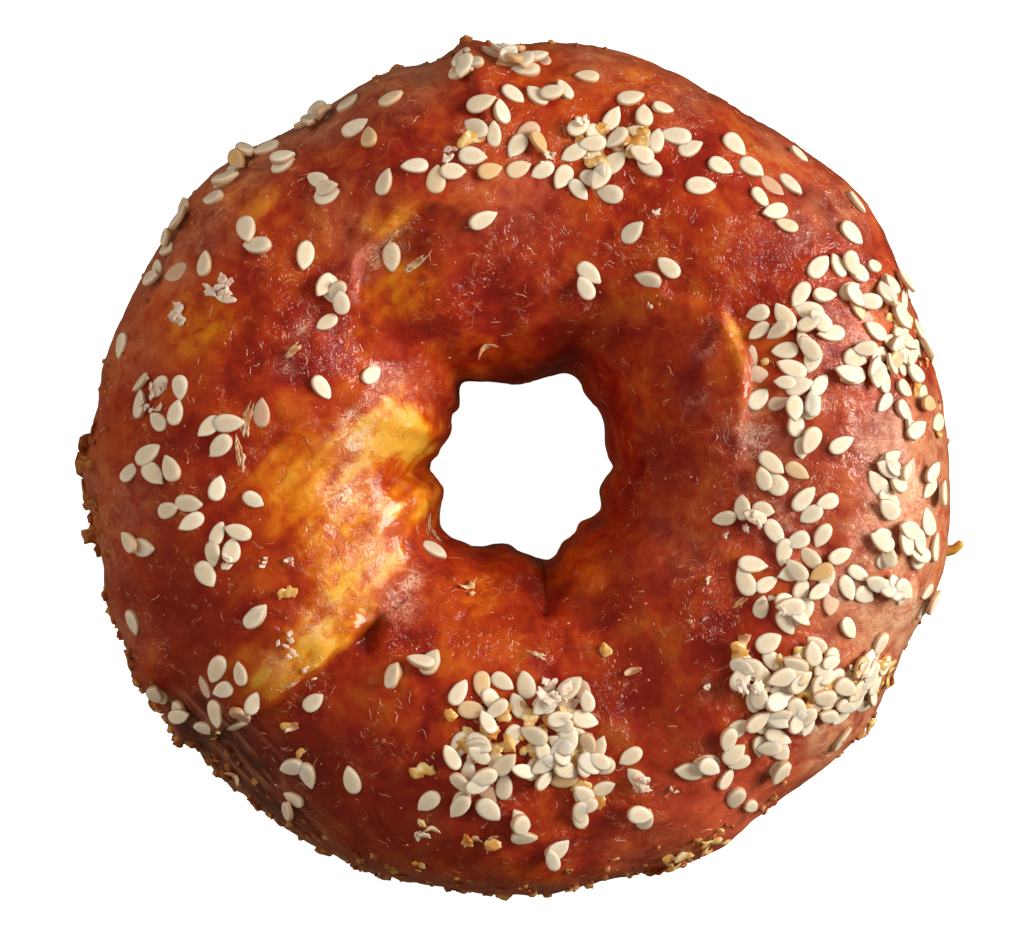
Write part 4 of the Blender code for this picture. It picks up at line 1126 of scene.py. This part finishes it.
# (from, to: plan angles in degrees, how many, width in mm).
RIM_STRETCHES = (
    (150, 178, 26, 0.8), (176, 200, 30, 1.3), (200, 232, 60, 1.3), (232, 262, 60, 1.2),
    (262, 296, 50, 1.1), (296, 330, 22, 1), (330, 352, 10, 1.1), (352, 390, 10, 0.7), (30, 75, 10, 0.6),
    (75, 110, 24, 0.9), (110, 150, 26, 0.8),
)
# Larger rags: (plan angle in degrees, section angle in degrees, how far out and width in mm).
RIM_RAGS = (
    (175, 2, 1.2, 3), (177, 3, 2, 3.8), (179.5, -2, 1.8, 3.2), (183, 2, 0.8, 3.4), (189, 3, 1.7, 2.6),
    (191, 0, 0.9, 2.8), (206, 6, 0.9, 2.2), (213, 2, 1, 2.4), (221, 5, 0.9, 2.8), (232, 3, 0.8, 2.2),
    (243, 4, 0.8, 2.4), (252, 2, 0.8, 2.4), (268, 5, 0.8, 2.6), (289, 6, 1.3, 2.8), (292, 10, 1, 2.2),
    (322, 8, 0.8, 1.8), (330, 6, 0.8, 2), (342, 8, 1, 2.2), (97, 8, 0.7, 1.8), (107, 6, 0.6, 1.8),
    (8, 10, 0.6, 1.6), (25, 8, 0.6, 1.4),
)
RIM_SECTION = (-18.0, 30.0)
# What each rag draws of its own: shares of its width, and its thickness in mm, lean and curl.
RAG_WIDTHS, RAG_STAND_OUTS = (0.5, 1.3), (0.3, 0.6)
RAG_THICKNESSES, RAG_CURL, RAG_RAGGEDNESS = (0.25, 0.45), 0.15, 0.28
RAG_LEAN, RAG_FLAP = 0.3, 0.7


def torn_crust():
    """Torn crust: a dry crumb the colour of toast, darker and amber where the glaze still clings."""
    material, tree, shader = new_material("torn_crust")
    place = add_node(tree, "TexCoord", {}, "Object")
    cloud = add_node(tree, "TexNoise", {
        "Vector": place, "Scale": 1.0 / (1.6 * MM), "Detail": 4.0, "Roughness": 0.6,
    })
    colour = add_node(tree, "ValToRGB", {"Fac": cloud}, stops=(
        (0.35, "#7A3212"), (0.5, "#A25C28"), (0.64, "#CE9A5C"),
    ))
    crumb = add_node(tree, "Bump", {"Strength": 0.8, "Distance": 0.2 * MM, "Height": cloud})
    set_inputs(tree, shader, {
        "Base Color": colour, "Roughness": 0.45, "Normal": crumb, "IOR": 1.45,
        "Subsurface Weight": 0.25, "Subsurface Radius": (1.0, 0.5, 0.2), "Subsurface Scale": 0.7 * MM,
        "Coat Weight": 0.3, "Coat Roughness": 0.2,
    })
    return material


def rim_rag(dice, angle, section, width, stand_out):
    """A torn flake of crust that runs along the rim there and stands out from it, as a form."""
    place, round_ring, _, normal = settled(angle, section)
    base = Matrix((round_ring, normal, round_ring.cross(normal))).transposed()
    lean = Matrix.Rotation(dice.gauss(0.0, RAG_LEAN), 3, "Y")
    lean = lean @ Matrix.Rotation(dice.gauss(0.0, RAG_FLAP), 3, "X")
    thickness, curl = dice.uniform(*RAG_THICKNESSES) * MM, dice.uniform(-RAG_CURL, RAG_CURL)
    flake = torn_flake(dice, width * MM, 2.0 * stand_out * MM, thickness, curl, RAG_RAGGEDNESS)
    return placed(flake, base @ lean, place), flake_faces, {}


forms = []
dice = random.Random(8)
for angle, section, stand_out, width in RIM_RAGS:
    forms.append(rim_rag(dice, angle, section, width, stand_out))
for low, high, count, width in RIM_STRETCHES:
    for _ in range(count):
        wide = width * dice.uniform(*RAG_WIDTHS)
        stand_out = wide * dice.uniform(*RAG_STAND_OUTS)
        forms.append(rim_rag(dice, dice.uniform(low, high), dice.uniform(*RIM_SECTION), wide, stand_out))
rim_rags = joined_piece("rim_rags", forms, torn_crust())
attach(rim_rags, "root")
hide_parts("bagel")

# --- Fibres and curls of dough ----------------------------------------------------------------------
# Strands that the dough drew out when it was torn and rolled, dried tan: bundles that lie on the skin,
# curls of skin that stand up from it, and one strand that sticks out of the rim at the right.

# (x, y, direction in degrees, length, how many side by side), in mm in plan.
FIBRES = (
    (-31.9, 5.6, 258, 5, 4), (-32.8, 1.6, 280, 5, 3), (-26.5, 13.7, 40, 3.5, 3),
    (-10.6, -6.8, 300, 3.6, 2), (-9.8, -8.2, 70, 3, 2), (26, -16, 30, 3, 2), (-12, 24, 30, 4, 3),
    (-15, 27, 55, 3.5, 2), (2, -22, 340, 3, 2), (-26.5, -25.5, 220, 3, 2),
)
# A fibre's radii and lift and the spacing in a bundle are in mm, and its stray in radians. Its length is
# a share of the row's, and its bend and wiggle are shares of its own.
FIBRE_STEPS = 15
FIBRE_RADII, FIBRE_FLATNESS, FIBRE_LIFT = (0.10, 0.28), 0.35, 0.05
FIBRE_LENGTHS, FIBRE_SPACING = (0.6, 1.0), 0.25
FIBRE_STRAY, FIBRE_BEND, FIBRE_WIGGLE = 0.10, 0.3, 0.012
# Curls: (x, y, direction in degrees, length, width, how far the ends bend up, as a share of the length).
CURLS = (
    (-3.8, 14.3, 35, 2.6, 1.2, 0.3), (26.5, -20.4, 60, 3, 1.4, 0.35), (-5.3, -43.8, 20, 2.2, 1, 0.3),
    (-3.2, -44, 65, 2.6, 0.9, 0.3), (-10.2, -42.6, 350, 2.2, 0.8, 0.25),
    (-26.6, -30.6, 30, 2.2, 1.2, 0.3), (13.6, -24, 15, 2, 0.9, 0.25), (-33.6, -36.8, 130, 2.4, 1.2, 0.3),
    (-6, -14.2, 25, 2.4, 0.8, 0.3),
)
# A curl's thickness and lift are in mm, its raggedness is a share of its reach, and it leans in radians.
CURL_THICKNESS, CURL_LIFT, CURL_RAGGEDNESS = 0.2, 0.2, 0.3
CURL_TILT, CURL_ROLL = 0.15, 0.3
# The strand at the right: points of its run, its radius at the root, and the share that it loses to its
# tip, in mm.
STRAY_STRAND = ((48.2, -11.2, 11.0), (50.6, -10.2, 11.5), (52.2, -9.9, 12.0), (53.3, -8.9, 12.6))
STRAY_RADIUS, STRAY_THINNING = 0.9, 0.5


def dried_dough():
    """Dough drawn thin and dried: tan, horny and half see-through, with a soft shine along it."""
    material, tree, shader = new_material("dried_dough")
    place = add_node(tree, "TexCoord", {}, "Object")
    cloud = add_node(tree, "TexNoise", {"Vector": place, "Scale": 1.0 / (1.2 * MM), "Detail": 3.0})
    tan = add_node(tree, "ValToRGB", {"Fac": cloud}, stops=((0.38, "#D28C5C"), (0.62, "#F8DDBC")))
    golden = add_node(tree, "Attribute", {}, "Fac", attribute_name="golden")
    colour = add_node(tree, "Mix", {"Factor": golden, 6: tan, 7: "#EEBA58"}, 2, data_type="RGBA")
    set_inputs(tree, shader, {
        "Base Color": colour, "Roughness": 0.4, "IOR": 1.45,
        "Subsurface Weight": 0.3, "Subsurface Radius": (1.0, 0.6, 0.3), "Subsurface Scale": 0.5 * MM,
        "Coat Weight": 0.4, "Coat Roughness": 0.15,
    })
    return material


fibre_faces = closed_faces(FIBRE_STEPS - 2, TUBE_SIDES)
forms = []
dice = random.Random(9)
for x, y, direction, length, count in FIBRES:
    for strand in range(count):
        heading = math.radians(direction) + dice.gauss(0.0, FIBRE_STRAY)
        aside = (strand - (count - 1) / 2.0) * FIBRE_SPACING
        place, normal = on_top(x - aside * math.sin(heading), y + aside * math.cos(heading))
        long, bend = length * dice.uniform(*FIBRE_LENGTHS) * MM, dice.uniform(-FIBRE_BEND, FIBRE_BEND)
        centres, normals = along_crust(
            dice, place, normal, heading, long, bend, FIBRE_WIGGLE, FIBRE_LIFT * MM, FIBRE_STEPS
        )
        radii = [dice.uniform(*FIBRE_RADII) * MM * math.sin(math.pi * step / (FIBRE_STEPS - 1.0)) ** 0.5
                 for step in range(FIBRE_STEPS)]
        forms.append((thin_tube(centres, normals, radii, FIBRE_FLATNESS), fibre_faces, {"golden": 0.0}))
for x, y, direction, length, width, curl in CURLS:
    place, normal = on_top(x, y)
    flake = torn_flake(dice, length * MM, width * MM, CURL_THICKNESS * MM, curl, CURL_RAGGEDNESS)
    tilt, roll = dice.gauss(0.0, CURL_TILT), dice.gauss(0.0, CURL_ROLL)
    turned = laid_on(normal, math.radians(direction), tilt, roll)
    lifted = place + normal * CURL_LIFT * MM
    forms.append((placed(flake, turned, lifted), flake_faces, {"golden": 0.0}))
knots = [Vector(knot) * MM for knot in STRAY_STRAND]
centres = []
for step in range(FIBRE_STEPS):
    share = step / (FIBRE_STEPS - 1.0) * (len(knots) - 1)
    low = min(int(share), len(knots) - 2)
    centres.append(knots[low].lerp(knots[low + 1], share - low))
radii = [STRAY_RADIUS * MM * (1.0 - STRAY_THINNING * step / (FIBRE_STEPS - 1.0))
         for step in range(FIBRE_STEPS)]
forms.append((thin_tube(centres, [-DOWN] * FIBRE_STEPS, radii), fibre_faces, {"golden": 1.0}))
fibres = joined_piece("dough_fibres", forms, dried_dough())
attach(fibres, "root")

# --- The table, the light and the camera ------------------------------------------------------------
# A white lit table, a large soft lamp from the right that rakes across the glaze, a weak one from the
# left, and a camera straight above with a long lens.

PICTURE_WIDTH, PICTURE_HEIGHT, PIXELS_PER_MM, CENTRE_PIXEL = 1024, 929, 8.37, (518, 467)
CAMERA_HEIGHT, SENSOR = 1.2, 36.0
# Half a table's side, and how far the white one and the grey one below it lie under the food.
TABLE_HALF, TABLE_DROP, BOUNCE_DROP = 1.5, 0.0002, 0.0004


def white_table():
    """Matt white acrylic, lit from below so that it stays white round the food."""
    material, tree, shader = new_material("lit_white_acrylic")
    set_inputs(tree, shader, {
        "Base Color": "#F4F4F2", "Roughness": 0.7, "Emission Color": "#FFFFFF", "Emission Strength": 1.0,
    })
    return material


def grey_table():
    """What the food sees of its table: a dull warm grey, so that it throws little light up."""
    material, tree, shader = new_material("shaded_table")
    set_inputs(tree, shader, {"Base Color": "#C0A284", "Roughness": 0.8})
    return material


corners = [(x * TABLE_HALF, y * TABLE_HALF, 0.0) for x, y in ((-1, -1), (1, -1), (1, 1), (-1, 1))]
table = mesh_piece("table", corners, [(0, 1, 2, 3)], white_table())
table.location.z = -TABLE_DROP
table.visible_diffuse = table.visible_glossy = False
bounce = table.copy()
bounce.name = "table_bounce"
bounce.data = table.data.copy()
bounce.data.materials[0] = grey_table()
bounce.location.z = -BOUNCE_DROP
bounce.visible_diffuse = bounce.visible_glossy = True
bounce.visible_camera = False
bpy.context.scene.collection.objects.link(bounce)

world = bpy.data.worlds.new("soft_room")
world.use_nodes = True
world.node_tree.nodes["Background"].inputs["Color"].default_value = linear("#FFE4C6")
world.node_tree.nodes["Background"].inputs["Strength"].default_value = 0.16
bpy.context.scene.world = world

# (name, place, size, power in watts, colour)
for name, place, size, power, code in (
    ("key_lamp", (0.706, 0.164, 0.338), 0.40, 8.8, "#FFF4E4"),
    ("fill_lamp", (-0.45, 0.10, 0.50), 0.8, 2.4, "#FFF0E0"),
):
    lamp = bpy.data.lights.new(name, "AREA")
    lamp.size, lamp.energy, lamp.color = size, power, linear(code)[:3]
    holder = bpy.data.objects.new(name, lamp)
    holder.location = place
    holder.rotation_euler = (-Vector(place)).to_track_quat("-Z", "Y").to_euler()
    holder.visible_glossy = name == "key_lamp"
    bpy.context.scene.collection.objects.link(holder)

lens = bpy.data.cameras.new("camera")
lens.sensor_width = SENSOR
lens.lens = SENSOR * (CAMERA_HEIGHT - WAIST_HEIGHT) / (PICTURE_WIDTH / PIXELS_PER_MM * MM)
camera = bpy.data.objects.new("camera", lens)
camera.location = (
    (PICTURE_WIDTH / 2.0 - CENTRE_PIXEL[0]) / PIXELS_PER_MM * MM,
    (CENTRE_PIXEL[1] - PICTURE_HEIGHT / 2.0) / PIXELS_PER_MM * MM,
    CAMERA_HEIGHT,
)
bpy.context.scene.collection.objects.link(camera)
bpy.context.scene.camera = camera
bpy.context.scene.view_settings.view_transform = "Standard"
